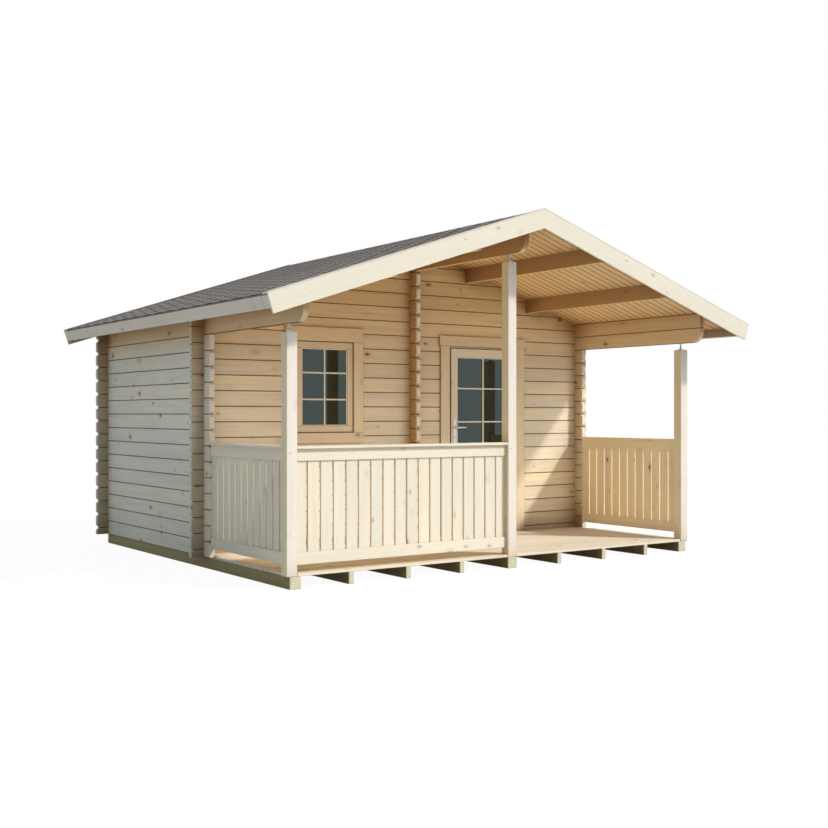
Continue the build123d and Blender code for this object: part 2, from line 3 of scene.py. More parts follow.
import bpy
import numpy as np
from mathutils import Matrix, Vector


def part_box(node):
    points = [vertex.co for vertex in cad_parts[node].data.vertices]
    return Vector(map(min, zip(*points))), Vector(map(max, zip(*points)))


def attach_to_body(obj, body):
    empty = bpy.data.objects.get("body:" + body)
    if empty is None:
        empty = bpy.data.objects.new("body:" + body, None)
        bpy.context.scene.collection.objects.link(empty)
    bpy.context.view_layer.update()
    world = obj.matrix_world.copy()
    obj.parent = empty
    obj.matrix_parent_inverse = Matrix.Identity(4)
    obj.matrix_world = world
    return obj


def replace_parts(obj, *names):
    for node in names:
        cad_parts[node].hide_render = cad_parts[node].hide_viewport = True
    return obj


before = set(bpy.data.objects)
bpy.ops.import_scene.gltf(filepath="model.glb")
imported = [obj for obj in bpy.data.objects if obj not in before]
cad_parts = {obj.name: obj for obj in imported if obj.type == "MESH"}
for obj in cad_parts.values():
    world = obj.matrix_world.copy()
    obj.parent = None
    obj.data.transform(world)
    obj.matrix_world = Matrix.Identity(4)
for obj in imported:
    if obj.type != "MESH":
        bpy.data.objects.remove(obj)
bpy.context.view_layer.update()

bl_info = {
    "name": "Log cottage dressing",
    "version": (1, 0, 0),
    "blender": (4, 5, 0),
    "location": "3D View > Sidebar > Cottage",
    "description": "Boards, shingles, glazing bars, fittings and timber finishes of a log cottage",
    "category": "Object",
}

COTTAGE, DOOR, LEVER = "cottage", "door", "lever"
DRAWS = np.random.default_rng(1843)
SIDES = ("left", -1.0), ("right", 1.0)
ROOF_PITCH = radians(18.25)
LOG_PITCH = 0.135

# Heights over the purlins' tops, square to the slope.
BOARD_TOP, FELT_TOP, SHINGLE_BED = 0.02, 0.03, 0.0302

# Rounding of planed timber and of steel strip.
EASED, STRIP_EDGE = 0.003, 0.0008


def corners(node):
    """Lowest and highest corner of a CAD node, in metres."""
    return [np.array(corner, float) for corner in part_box(node)]


BASE = corners("base_beams")[1][2]
WALL_FRONT = corners("front_gable")[0][1]
PEAK = corners("ridge_purlin")[1][2]
ROOF_ENDS = corners("left_roofing")[0][1], corners("left_roofing")[1][1]


# Sizes and colours that a user would change.

def length(name, words, value):
    """A length in metres that the panel shows with its unit."""
    return bpy.props.FloatProperty(
        name=name, description=words, default=value, unit="LENGTH", min=0.0, precision=4
    )


def colour(name, words, value):
    """A colour as linear red, green and blue."""
    return bpy.props.FloatVectorProperty(
        name=name, description=words, default=value, subtype="COLOR", size=3, min=0.0, max=1.0
    )


class CottageSizes(bpy.types.PropertyGroup):
    """Sizes of the boards, shingles and bars."""

    deck_board: length("Deck board", "Width of a deck board with its gap", 0.1075)
    deck_gap: length("Deck gap", "Gap between two deck boards", 0.006)
    floor_board: length("Floor board", "Width of a floor board in the room", 0.112)
    soffit_board: length("Soffit board", "Width of a roof board", 0.0877)
    shingle_rise: length("Shingle rise", "Height of a course that shows", 0.14)
    shingle_tab: length("Shingle tab", "Width of one tab with its slot", 0.25)
    shingle_slot: length("Shingle slot", "Slot between two tabs", 0.008)
    bar_width: length("Glazing bar", "Width of a glazing bar", 0.014)
    bead_width: length("Glazing bead", "Width of the bead round the panes", 0.009)


class CottageColours(bpy.types.PropertyGroup):
    """Finishes of the timber, the roof and the fittings."""

    pale: colour("Pale timber", "Boards of the rails, posts and roof edge", (0.86, 0.79, 0.65))
    front_logs: colour("Front logs", "Logs of the front, back and right walls", (0.87, 0.80, 0.665))
    # The left wall's logs are the front logs' wood; their cooler, greener tint is painted shade of that side.
    side_logs: colour("Side logs", "Logs of the left wall", (0.86, 0.825, 0.715))
    log_end: colour("Log ends", "Sawn ends of the logs", (0.84, 0.78, 0.68))
    # The crossing logs are the front logs' wood; this dark tint is painted shade on their sides.
    column: colour("Crossing logs", "Log ends that cross the front wall", (0.72, 0.50, 0.285))
    warm: colour("Warm timber", "Roof boards", (0.86, 0.62, 0.33))
    # The purlins' dark tint is painted shade on their sides.
    purlin: colour("Purlins", "Purlins under the roof", (0.57, 0.35, 0.155))
    joinery: colour("Joinery", "Casings, sash and door frame", (0.84, 0.73, 0.55))
    leaf: colour("Door leaf", "Stiles, rails and panel of the door", (0.86, 0.77, 0.61))
    bars: colour("Glazing bars", "Bars and beads of the panes", (0.95, 0.89, 0.77))
    fascia: colour("Fascias", "Boards along the eaves", (0.74, 0.66, 0.56))
    deck: colour("Deck", "Deck boards and the room's floor", (0.89, 0.82, 0.70))
    green: colour("Treated timber", "Sides of beams and joists", (0.36, 0.36, 0.18))
    green_end: colour("Treated ends", "Sawn ends of beams and joists", (0.80, 0.76, 0.55))
    shingle: colour("Shingles", "Granules of the roofing", (0.37, 0.325, 0.298))
    steel: colour("Steel", "Jacks, hinges and lever", (0.74, 0.75, 0.76))
    # Nearly black: painted shade of the room behind the panes.
    glass: colour("Glass", "Tint of the panes", (0.012, 0.005, 0.003))


def sizes():
    """The sizes of the open scene."""
    return bpy.context.scene.cottage_sizes


def colours():
    """The colours of the open scene."""
    return bpy.context.scene.cottage_colours


# Shader expressions.

class Wire:
    """One socket of a material's nodes. Sums and products of wires add Math nodes."""

    def __init__(self, tree, socket=None):
        self.tree = tree
        self.socket = socket

    def node(self, kind, settings=None, sockets=None, out=0):
        """Adds a node: its settings first, then the values or links of its sockets."""
        made = self.tree.nodes.new(kind)
        for key, value in (settings or {}).items():
            setattr(made, key, value)
        for key, value in (sockets or {}).items():
            if isinstance(value, Wire):
                self.tree.links.new(value.socket, made.inputs[key])
            else:
                made.inputs[key].default_value = value
        return Wire(self.tree, made.outputs[out])

    def maths(self, operation, *values):
        """One Math node on numbers and wires."""
        return self.node("ShaderNodeMath", {"operation": operation}, dict(enumerate(values)))

    def __add__(self, other):
        return self.maths("ADD", self, other)

    def __sub__(self, other):
        return self.maths("SUBTRACT", self, other)

    def __rsub__(self, other):
        return self.maths("SUBTRACT", other, self)

    def __mul__(self, other):
        return self.maths("MULTIPLY", self, other)

    def __truediv__(self, other):
        return self.maths("DIVIDE", self, other)

    def __abs__(self):
        return self.maths("ABSOLUTE", self)

    __radd__ = __add__
    __rmul__ = __mul__

    def floor(self):
        """The whole number below."""
        return self.maths("FLOOR", self)

    def fraction(self):
        """What is left over the whole number."""
        return self.maths("FRACT", self)

    def most(self, other):
        """The larger of two numbers."""
        return self.maths("MAXIMUM", self, other)

    def step(self, low, high):
        """Rises smoothly from 0 at low to 1 at high, or falls where low is above high."""
        return self.node(
            "ShaderNodeMapRange",
            {"interpolation_type": "SMOOTHSTEP"},
            {0: self, 1: min(low, high), 2: max(low, high), 3: float(low > high), 4: float(low < high)},
        )

    def parts(self):
        """The three numbers of a vector."""
        return [self.node("ShaderNodeSeparateXYZ", None, {0: self}, out) for out in range(3)]

    def join(self, x, y, z):
        """A vector of three numbers."""
        return self.node("ShaderNodeCombineXYZ", None, {0: x, 1: y, 2: z})

    def scaled(self, x, y, z):
        """A vector stretched along its three axes."""
        return self.node("ShaderNodeVectorMath", {"operation": "MULTIPLY"}, {0: self, 1: (x, y, z)})

    def noise(self, scale=1.0, detail=2.0, roughness=0.5, warp=0.0):
        """Smooth noise at this place, about 0.5 on average."""
        return self.node(
            "ShaderNodeTexNoise",
            None,
            {"Vector": self, "Scale": scale, "Detail": detail, "Roughness": roughness, "Distortion": warp},
        )

    def chance(self):
        """A random number from 0 to 1 for every value."""
        return self.node("ShaderNodeTexWhiteNoise", {"noise_dimensions": "1D"}, {"W": self})

    def blend(self, other, factor, mode="MIX"):
        """This colour mixed with another."""
        return self.node(
            "ShaderNodeMix", {"data_type": "RGBA", "blend_type": mode}, {0: factor, 6: self, 7: other}, 2
        )

    def shaded(self, light):
        """This colour made lighter or darker."""
        return self.blend(self.join(light, light, light), 1.0, "MULTIPLY")

    def relief(self, strength, depth):
        """A normal bent by this height."""
        return self.node("ShaderNodeBump", None, {"Height": self, "Strength": strength, "Distance": depth})


def rgb(value, gain=1.0):
    """A colour as red, green, blue and alpha, made lighter or darker."""
    return (*(min(1.0, part * gain) for part in value), 1.0)


def toned(tint, *shares):
    """A tint with its red, green and blue each times a share."""
    return [part * share for part, share in zip(tint, shares)]


def new_material(name):
    """An empty material, its Principled shader, and a wire to start expressions from."""
    material = bpy.data.materials.new(name)
    material.use_nodes = True
    tree = material.node_tree
    return material, tree.nodes["Principled BSDF"], Wire(tree)


def attach(shader, **sockets):
    """Sets or links sockets of a shader by name, with _ for a space."""
    for key, value in sockets.items():
        target = shader.inputs[key.replace("_", " ")]
        if isinstance(value, Wire):
            value.tree.links.new(value.socket, target)
        else:
            target.default_value = value


def tint_of(start, value):
    """A colour as a wire."""
    made = start.node("ShaderNodeRGB")
    made.socket.default_value = rgb(value)
    return made


def frame_place(start):
    """Object coordinates: metres in the shared frame."""
    return start.node("ShaderNodeTexCoord", None, None, 3)


def own_grain(start):
    """A board's own coordinates: along, across and through it."""
    return start.node("ShaderNodeAttribute", {"attribute_name": "grain"}, None, 1)


def own_marks(start):
    """A board's random number, its rounded edges and its sawn ends."""
    return start.node("ShaderNodeAttribute", {"attribute_name": "marks"}, None, 1).parts()


def log_grain(first, second, third):
    """Coordinates of a log whose grain runs along the first axis."""

    def read(start):
        axes = frame_place(start).parts()
        return start.join(axes[first], axes[second], axes[third])

    return read


def slope_grain(side):
    """Coordinates of a board that lies along one slope of the roof."""

    def read(start):
        x, y, z = frame_place(start).parts()
        along = x * cos(ROOF_PITCH) - z * (side * sin(ROOF_PITCH))
        across = z * cos(ROOF_PITCH) + x * (side * sin(ROOF_PITCH))
        return start.join(along, across, y)

    return read


def log_marks(lift, reach=0.0062, core=0.0024):
    """A random number for each log of a stack, and the dark grooves between the logs.

    A groove is full dark within the core, and fades out to the reach, on both sides of the joint.
    """

    def read(start):
        height = frame_place(start).parts()[2]
        course = (height - lift) / LOG_PITCH + 40.0
        off = abs((course + 0.5).fraction() - 0.5)
        groove = off.step(reach / LOG_PITCH, core / LOG_PITCH)
        return course.floor().chance(), groove, start.node("ShaderNodeValue")

    return read


def fascia_marks(start):
    """A random number for each length of fascia, and the butt joints between them and near their ends."""
    first, pitch, last = -1.94, 1.74, 2.095
    depth = frame_place(start).parts()[1]
    share = (depth - first) / pitch + 40.0
    joint = abs((share + 0.5).fraction() - 0.5).step(0.0022, 0.0006)
    end_joint = abs(abs(depth) - last).step(0.005, 0.001)
    return share.floor().chance(), joint.most(end_joint), start.node("ShaderNodeValue")


def single_marks(start):
    """One board with nothing marked on it."""
    return [start.node("ShaderNodeValue") for _ in range(3)]


def timber(
    name, tint, grain=own_grain, marks=own_marks, knots=0.7, edges=0.3, figure=0.5, vary=0.10,
    end=None, ends=None, crossing=None, roof_shade=None, corner_shade=1.0,
):
    """Planed softwood.

    Grain gives coordinates with x along the fibres. Marks gives a random number, edges and sawn ends. The
    tint is made lighter or darker from board to board, with fine lines along the grain, broad soft flames,
    and knots where a scattered point comes near to the surface. Edges says how dark rounded edges and grooves
    are, and end is the colour of sawn ends. Ends gives an axis, the tint of the faces square to it, and how
    much of it shows: sawn ends on logs, and painted shade or light on one pair of faces of posts and purlins.
    Crossing is how far out a log passes a crossing wall, beyond which it gets painted shade. Two heights for
    the painted shade under the roof turn the timber to a deeper honey between them. The painted shade in
    corners says how much darker it gets in narrow corners, where an ambient occlusion node finds them shut
    in.
    """
    material, shader, start = new_material(name)
    place = grain(start)
    chance, edge, sawn = marks(start)
    lines = place.scaled(1.6, 95.0, 95.0).noise(1.0, 3.0, 0.55, 0.6)
    flames = place.scaled(0.9, 13.0, 13.0).noise(1.0, 2.0, 0.5, 1.4)
    patch = place.scaled(0.8, 2.5, 2.5).noise()
    light = 1.0 + (chance - 0.5) * vary + (lines - 0.5) * (figure * 0.4) + (flames - 0.5) * (figure * 0.5)
    wood = tint_of(start, tint)
    wood = wood.blend(rgb(toned(tint, 0.92, 0.78, 0.56)), flames.step(0.5, 0.8) * (figure * 0.9))
    wood = wood.blend(rgb(toned(tint, 0.97, 0.90, 0.78)), chance * (vary * 4.0))
    # Painted shade under the roof: a deeper honey between the two heights.
    if roof_shade:
        height = frame_place(start).parts()[2]
        wood = wood.blend(rgb(toned(tint, 0.90, 0.69, 0.43)), height.step(*roof_shade))
    wood = wood.shaded(light + (patch - 0.5) * 0.16)
    # Painted shade: darker and warmer in narrow corners, as far as an ambient occlusion node finds them shut
    # in.
    if corner_shade:
        corner = 1.0 - start.node("ShaderNodeAmbientOcclusion", {"samples": 6}, {"Distance": 0.34}, 1)
        wood = wood.blend(start.join(0.40, 0.27, 0.15), corner.step(0.06, 0.80) * corner_shade, "MULTIPLY")
    if end:
        wood = wood.blend(rgb(end), sawn * (0.75 + (lines - 0.5) * 0.5))
    # Painted shade on the part of a front log that stands out beyond the crossing wall.
    if crossing:
        stub_shade = abs(place.parts()[0]).step(crossing, crossing + 0.006)
        wood = wood.blend(start.join(0.72, 0.71, 0.69), stub_shade, "MULTIPLY")
    # Sawn ends on logs; on posts and purlins, painted shade or light on the pair of faces that the normal
    # picks.
    if ends:
        axis, face, share = ends
        facing = abs(start.node("ShaderNodeNewGeometry", None, None, 1).parts()[axis]).step(0.6, 0.9)
        rings = place.scaled(1.0, 60.0, 60.0).noise(1.0, 2.0, 0.5, 2.0)
        wood = wood.blend(rgb(face), facing * (share + (rings - 0.5) * 0.5))
    cells = place.scaled(4.2, 7.5, 7.5)
    points = cells.node("ShaderNodeTexVoronoi", {"voronoi_dimensions": "3D"}, {"Vector": cells, "Scale": 1.0})
    kind = Wire(start.tree, points.socket.node.outputs[1]).parts()[0]
    ring = points / (0.034 + kind * kind * 0.095)
    knot = ring.step(1.25, 0.55) * knots
    wood = wood.blend(rgb((0.42, 0.25, 0.11)), ring.step(3.0, 1.0) * (0.35 * knots))
    wood = wood.blend(rgb((0.105, 0.052, 0.022)), knot * 0.92)
    wood = wood.blend(rgb(toned(tint, 0.19, 0.095, 0.035)), edge * edges)
    height = lines * 0.6 + flames * 0.3 + knot * 0.5
    attach(
        shader,
        Base_Color=wood,
        Roughness=0.60 + (lines - 0.5) * 0.25 - knot * 0.12,
        Normal=height.relief(0.14, 0.004),
        Specular_IOR_Level=0.25,
    )
    return material


def shingle_felt(name, tint):
    """Bitumen shingles: mineral granules, each tab a little lighter or darker, streaked down the slope."""
    material, shader, start = new_material(name)
    place = own_grain(start)
    chance, edge, _ = own_marks(start)
    grit = place.noise(420.0, 2.0, 0.7)
    speck = place.noise(1100.0, 1.0, 0.5)
    cloud = place.scaled(7.0, 7.0, 7.0).noise(1.0, 3.0)
    felt = tint_of(start, tint).blend(rgb(tint, 1.25), chance * 0.5)
    felt = felt.blend(rgb(toned(tint, 1.9, 1.9, 1.95)), speck.step(0.58, 0.75) * 0.5)
    felt = felt.shaded(0.72 + grit * 0.5 + (cloud - 0.5) * 0.3)
    # Darker by the edge mark: printed dark in the notches, dark felt strips, and painted shadow on and above
    # the tabs' butts.
    felt = felt.blend(rgb(tint, 0.07), edge * 0.97)
    attach(
        shader, Base_Color=felt, Roughness=0.86 + (grit - 0.5) * 0.2, Normal=grit.relief(0.3, 0.003),
        Specular_IOR_Level=0.3,
    )
    return material


def roofing_felt(name, tint):
    """Felt under the shingles, which shows along the edges and in the slots."""
    material, shader, start = new_material(name)
    grit = frame_place(start).noise(300.0, 2.0)
    felt = tint_of(start, toned(tint, 0.4, 0.4, 0.4)).blend(rgb(tint, 0.7), grit)
    attach(shader, Base_Color=felt, Roughness=0.85 + (grit - 0.5) * 0.1)
    return material


def zinc(name, tint, rough=0.30, dull=0.78):
    """Plated steel with a faint spangle and rubbed marks."""
    material, shader, start = new_material(name)
    place = frame_place(start)
    spangle = place.noise(160.0, 2.0, 0.6)
    rub = place.scaled(60.0, 60.0, 18.0).noise(1.0, 3.0)
    plated = tint_of(start, tint).blend(rgb(tint, dull), spangle.step(0.35, 0.7))
    attach(shader, Base_Color=plated, Metallic=0.7, Roughness=rough + rub * 0.2)
    return material


def pane(name, tint):
    """Glass, almost black and nearly opaque: painted shade of the dim room behind it, so that it mirrors what
    stands outside. The teal tint on its reflections is a painted reflection colour.
    """
    material, shader, start = new_material(name)
    smear = frame_place(start).scaled(2.2, 2.2, 1.1).noise(1.0, 3.0)
    attach(
        shader, Base_Color=tint_of(start, tint).blend(rgb(tint, 1.8), smear), Roughness=0.012 + smear * 0.025,
        Alpha=0.95 + (smear - 0.5) * 0.06, IOR=1.5, Specular_IOR_Level=1.0,
        Specular_Tint=(0.66, 1.0, 0.97, 1.0),
    )
    return material


# Surfaces.

def add_mesh(name, points, faces, material, body=COTTAGE, grain=None, marks=None, smooth=False):
    """Puts arrays of points and faces into a mesh that rides on a body."""
    mesh = bpy.data.meshes.new(name)
    mesh.from_pydata(points.reshape(-1, 3), [], faces)
    mesh.validate()
    mesh.update()
    for key, values in (("grain", grain), ("marks", marks)):
        if values is not None:
            mesh.attributes.new(key, "FLOAT_VECTOR", "POINT").data.foreach_set(
                "vector", values.reshape(-1).astype(np.float32)
            )
    mesh.polygons.foreach_set("use_smooth", np.full(len(mesh.polygons), smooth))
    mesh.materials.append(material)
    piece = bpy.data.objects.new(name, mesh)
    bpy.context.scene.collection.objects.link(piece)
    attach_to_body(piece, body)
    return piece


def rounded_profile(half_width, half_depth, edge, corner=3):
    """Points round rectangles with rounded corners: a quarter circle of radius edge at each corner."""
    turn = np.linspace(0.0, pi / 2, corner)
    angles = np.concatenate([turn + quarter * pi / 2 for quarter in range(4)])
    signs = np.repeat(np.array([[1, 1], [-1, 1], [-1, -1], [1, -1]], float), corner, axis=0)
    half = np.stack([half_width, half_depth], -1)[:, None, :]
    return signs[None] * (half - edge) + edge * np.stack([np.cos(angles), np.sin(angles)], -1)[None]


def tube_faces(count, rings, around):
    """Quads of many closed tubes, each a grid of rings by points around, with a cap at both ends."""
    ring = np.arange(rings - 1)[:, None] * around
    step = np.arange(around)[None, :]
    after = (step + 1) % around
    quads = np.stack([ring + step, ring + after, ring + after + around, ring + step + around], -1)
    shift = (np.arange(count) * rings * around)[:, None, None]
    sides = (quads.reshape(1, -1, 4) + shift).reshape(-1, 4).tolist()
    low = (np.arange(around)[::-1][None] + shift[:, 0]).tolist()
    high = (np.arange(around)[None] + (rings - 1) * around + shift[:, 0]).tolist()
    return sides + low + high


def planks(centres, lengths, widths, depths, along, across, edge=0.002):
    """Straight boards. Each is a rounded rectangle carried along its axis, with its ends drawn in.

    A point is centre + s * along + u * across + v * through, where s runs over six stations and u, v follow
    the rounded profile. The grain coordinates are s, u and v, moved by a random amount for each board. The
    marks are a random number for each board, 1 on its rounded edges, and 1 on its sawn ends.
    """
    centres = np.asarray(centres, float).reshape(-1, 3)
    count = len(centres)
    lengths, widths, depths = (
        np.broadcast_to(np.asarray(value, float), (count,)).copy() for value in (lengths, widths, depths)
    )
    along, across = (np.broadcast_to(np.asarray(value, float), (count, 3)) for value in (along, across))
    through = np.cross(along, across)
    full = rounded_profile(widths / 2, depths / 2, edge)
    drawn = rounded_profile(widths / 2 - edge, depths / 2 - edge, edge * 0.2)
    profile = np.stack([drawn, full, full, full, full, drawn], 1)
    half = lengths[:, None] / 2
    stations = np.concatenate([-half, -half + edge, -half + 2 * edge, half - 2 * edge, half - edge, half], 1)
    points = (
        centres[:, None, None, :]
        + stations[:, :, None, None] * along[:, None, None, :]
        + profile[..., :1] * across[:, None, None, :]
        + profile[..., 1:] * through[:, None, None, :]
    )
    grain = np.concatenate([np.broadcast_to(stations[:, :, None, None], profile[..., :1].shape), profile], -1)
    grain = grain + DRAWS.uniform(0.0, 40.0, (count, 1, 1, 3))
    around = profile.shape[2]
    edges = np.tile([0.0, 1.0, 0.0], around // 3)
    ends = np.array([1.0, 1.0, 0.0, 0.0, 1.0, 1.0])
    chance = DRAWS.uniform(0.0, 1.0, (count, 1, 1))
    marks = np.stack(np.broadcast_arrays(chance, edges[None, None, :], ends[None, :, None]), -1)
    return points, tube_faces(count, 6, around), grain, marks


def add_pieces(name, material, slot, *groups, body=COTTAGE, smooth=False):
    """One mesh from several groups of boards or turned shapes."""
    shifts = np.cumsum([0] + [group[0].reshape(-1, 3).shape[0] for group in groups])
    faces = [
        [corner + int(shift) for corner in face]
        for group, shift in zip(groups, shifts)
        for face in group[1]
    ]
    points, grain, marks = (
        np.concatenate([np.asarray(group[part], float).reshape(-1, 3) for group in groups])
        for part in (0, 2, 3)
    )
    return add_mesh(name, points, faces, material, body, grain, marks, smooth)


def between(low, high, along, edge=0.002):
    """Boards given by their lowest and highest corners, with the grain along one of the axes."""
    low, high = (np.asarray(corner, float).reshape(-1, 3) for corner in (low, high))
    size = high - low
    across, through = (along + 1) % 3, (along + 2) % 3
    axes = np.eye(3)
    return planks(
        (low + high) / 2, size[:, along], size[:, across], size[:, through], axes[along], axes[across], edge
    )


def board_row(low, high, firsts, lasts, across, along, edge):
    """Boards side by side in a box, from firsts to lasts along one axis, with the grain along another."""
    starts, stops = (np.tile(corner, (len(firsts), 1)) for corner in (low, high))
    starts[:, across], stops[:, across] = firsts, lasts
    return between(starts, stops, along, edge)


def swept(path, radii, start_across, around=20):
    """A round rod carried along a path, with a radius and a squeeze at each point of it.

    At each point the tangent t is the path's difference, u is the given direction made square to t, and v is
    t x u. A point is path + a * cos(w) * u + b * sin(w) * v, with a and b the two half sizes there.
    """
    path, radii = np.asarray(path, float), np.asarray(radii, float)
    tangent = np.gradient(path, axis=0)
    tangent /= np.linalg.norm(tangent, axis=1, keepdims=True)
    u = np.asarray(start_across, float) - tangent * (tangent @ np.asarray(start_across, float))[:, None]
    u /= np.linalg.norm(u, axis=1, keepdims=True)
    v = np.cross(tangent, u)
    turn = np.linspace(0.0, 2 * pi, around, endpoint=False)
    points = (
        path[:, None, :]
        + radii[:, None, :1] * np.cos(turn)[None, :, None] * u[:, None, :]
        + radii[:, None, 1:] * np.sin(turn)[None, :, None] * v[:, None, :]
    )
    return points, tube_faces(1, len(path), around), points, np.zeros_like(points)


def turned(centre, axis, stations, radii, around=24):
    """A turned shape: a circle whose radius changes along an axis, at each station from the centre."""
    stations, radii = np.asarray(stations, float), np.asarray(radii, float)
    axis = np.asarray(axis, float)
    side = np.array([0.0, 0.0, 1.0]) if abs(axis[2]) < 0.5 else np.array([1.0, 0.0, 0.0])
    path = np.asarray(centre, float) + stations[:, None] * axis
    u, v = np.cross(axis, side), np.cross(axis, np.cross(axis, side))
    turn = np.linspace(0.0, 2 * pi, around, endpoint=False)
    points = path[:, None, :] + radii[:, None, None] * (
        np.cos(turn)[None, :, None] * u[None, None] + np.sin(turn)[None, :, None] * v[None, None]
    )
    return points, tube_faces(1, len(stations), around), points, np.zeros_like(points)


def screw_head(centre, radius, top, height, sunk=0.0):
    """A low round head that faces the front: a straight rim with a short chamfer up to its top."""
    chamfer = 0.0006
    return turned(centre, (0, -1, 0), (-sunk, height - chamfer, height), (radius, radius, top), 12)


def finish(nodes, material):
    """Gives CAD nodes a material."""
    for node in nodes:
        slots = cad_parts[node].data.materials
        slots.clear()
        slots.append(material)


def slope_point(side, run, rise, depth):
    """Point on a slope: run down from the ridge, rise square to it, depth from front to back."""
    x = side * (run * cos(ROOF_PITCH) + rise * sin(ROOF_PITCH))
    z = PEAK - run * sin(ROOF_PITCH) + rise * cos(ROOF_PITCH)
    return np.stack(np.broadcast_arrays(x, depth, z), -1)


# Operators.

class COTTAGE_OT_walls(bpy.types.Operator):
    """Finishes the log walls, the gables and the beams along the eaves"""

    bl_idname = "cottage.walls"
    bl_label = "Finish the log walls"

    def execute(self, context):
        tints = colours()
        logs = {"knots": 0.95, "edges": 1.0}
        front = timber(
            "front_logs", tints.front_logs, log_grain(0, 1, 2), log_marks(BASE + LOG_PITCH / 2), **logs,
            figure=0.75, vary=0.20, ends=(0, tints.log_end, 0.6), crossing=corners("right_wall")[1][0],
            roof_shade=(1.2, 2.6),
        )
        along_sides = log_grain(1, 0, 2), log_marks(BASE)
        side = timber(
            "side_logs", tints.side_logs, *along_sides, **logs, figure=0.7, vary=0.16,
            ends=(1, tints.log_end, 0.6), roof_shade=(1.72, 2.25), corner_shade=0.3,
        )
        far = timber(
            "far_logs", tints.front_logs, *along_sides, **logs, figure=0.7, vary=0.16,
            ends=(1, tints.front_logs, 0.6), roof_shade=(0.4, 3.2),
        )
        eaves = timber(
            "eave_beam_logs", tints.front_logs, *along_sides, knots=0.8, edges=0.95, roof_shade=(1.4, 2.4)
        )
        # The crossing logs' sides take the dark tint, painted shade; their sawn front ends take the front
        # logs' tint.
        column = timber(
            "crossing_logs", tints.column, *along_sides, knots=0.4, edges=0.95,
            ends=(1, tints.front_logs, 1.0),
        )
        piers = [f"front_wall_{part}" for part in ("base", "left_pier", "middle_pier", "right_pier")]
        finish([*piers, "front_gable", "back_wall"], front)
        finish(["left_wall"], side)
        finish(["right_wall"], far)
        finish(["left_eave_beam", "right_eave_beam"], eaves)
        finish(["crossing_log_ends"], column)
        return {"FINISHED"}


class COTTAGE_OT_base(bpy.types.Operator):
    """Lays the treated beams and joists"""

    bl_idname = "cottage.base"
    bl_label = "Lay the base"

    def execute(self, context):
        tints = colours()
        low, high = corners("base_beams")
        wide, slim, pitch = 0.095, 0.045, 0.535
        middles = np.array([low[0] + wide / 2, *(np.arange(-3, 4) * pitch), high[0] - wide / 2])
        halves = np.where(np.arange(9) % 4 == 0, wide, slim) / 2
        green = timber(
            "treated_timber", tints.green, knots=0.4, edges=0.15, figure=0.8, vary=0.2, end=tints.green_end
        )
        beams = board_row(low, high, middles - halves, middles + halves, 0, 1, EASED)
        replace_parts(add_pieces("ground_beams", green, "green_timber", beams), "base_beams")
        return {"FINISHED"}


class COTTAGE_OT_deck(bpy.types.Operator):
    """Lays the boards of the deck and of the room's floor"""

    bl_idname = "cottage.deck"
    bl_label = "Lay the deck and floor"

    def execute(self, context):
        size, tints = sizes(), colours()
        low, high = corners("veranda_deck")
        posts = corners("veranda_posts")
        post = posts[1][1] - posts[0][1]
        stubs = corners("left_wall")[0][1]
        clear, wall = 0.003, 0.048
        count = int(round((high[1] - low[1]) / size.deck_board))
        edges = np.linspace(low[1], high[1], count + 1)
        fronts, backs = edges[:-1] + size.deck_gap / 2, edges[1:] - size.deck_gap / 2
        inset = np.where(backs > stubs, wall, 0.0)
        notched = fronts < posts[1][1]
        starts = [np.stack([low[0] + inset, fronts, np.full(count, low[2])], -1)[~notched]]
        stops = [np.stack([high[0] - inset, backs, np.full(count, high[2])], -1)[~notched]]
        first = posts[0][0] + post + clear
        for left, right in ((first, -post / 2 - clear), (post / 2 + clear, -first)):
            part = np.ones(notched.sum())
            starts.append(np.stack([part * left, fronts[notched], part * low[2]], -1))
            stops.append(np.stack([part * right, backs[notched], part * high[2]], -1))
        wood = timber("deck_timber", tints.deck, knots=0.8, edges=0.3, figure=0.5, vary=0.12, corner_shade=0.5)
        boards = between(np.concatenate(starts), np.concatenate(stops), 0, EASED)
        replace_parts(add_pieces("deck_boards", wood, "deck_timber", boards), "veranda_deck")

        low, high = corners("room_floor")
        count = int(round((high[1] - low[1]) / size.floor_board))
        edges = np.linspace(low[1], high[1], count + 1)
        boards = board_row(low, high, edges[:-1], edges[1:], 1, 0, 0.0015)
        plain = timber("floor_timber", tints.deck, knots=0.6, edges=0.6, figure=0.5)
        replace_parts(add_pieces("floor_boards", plain, "floor_timber", boards), "room_floor")
        return {"FINISHED"}


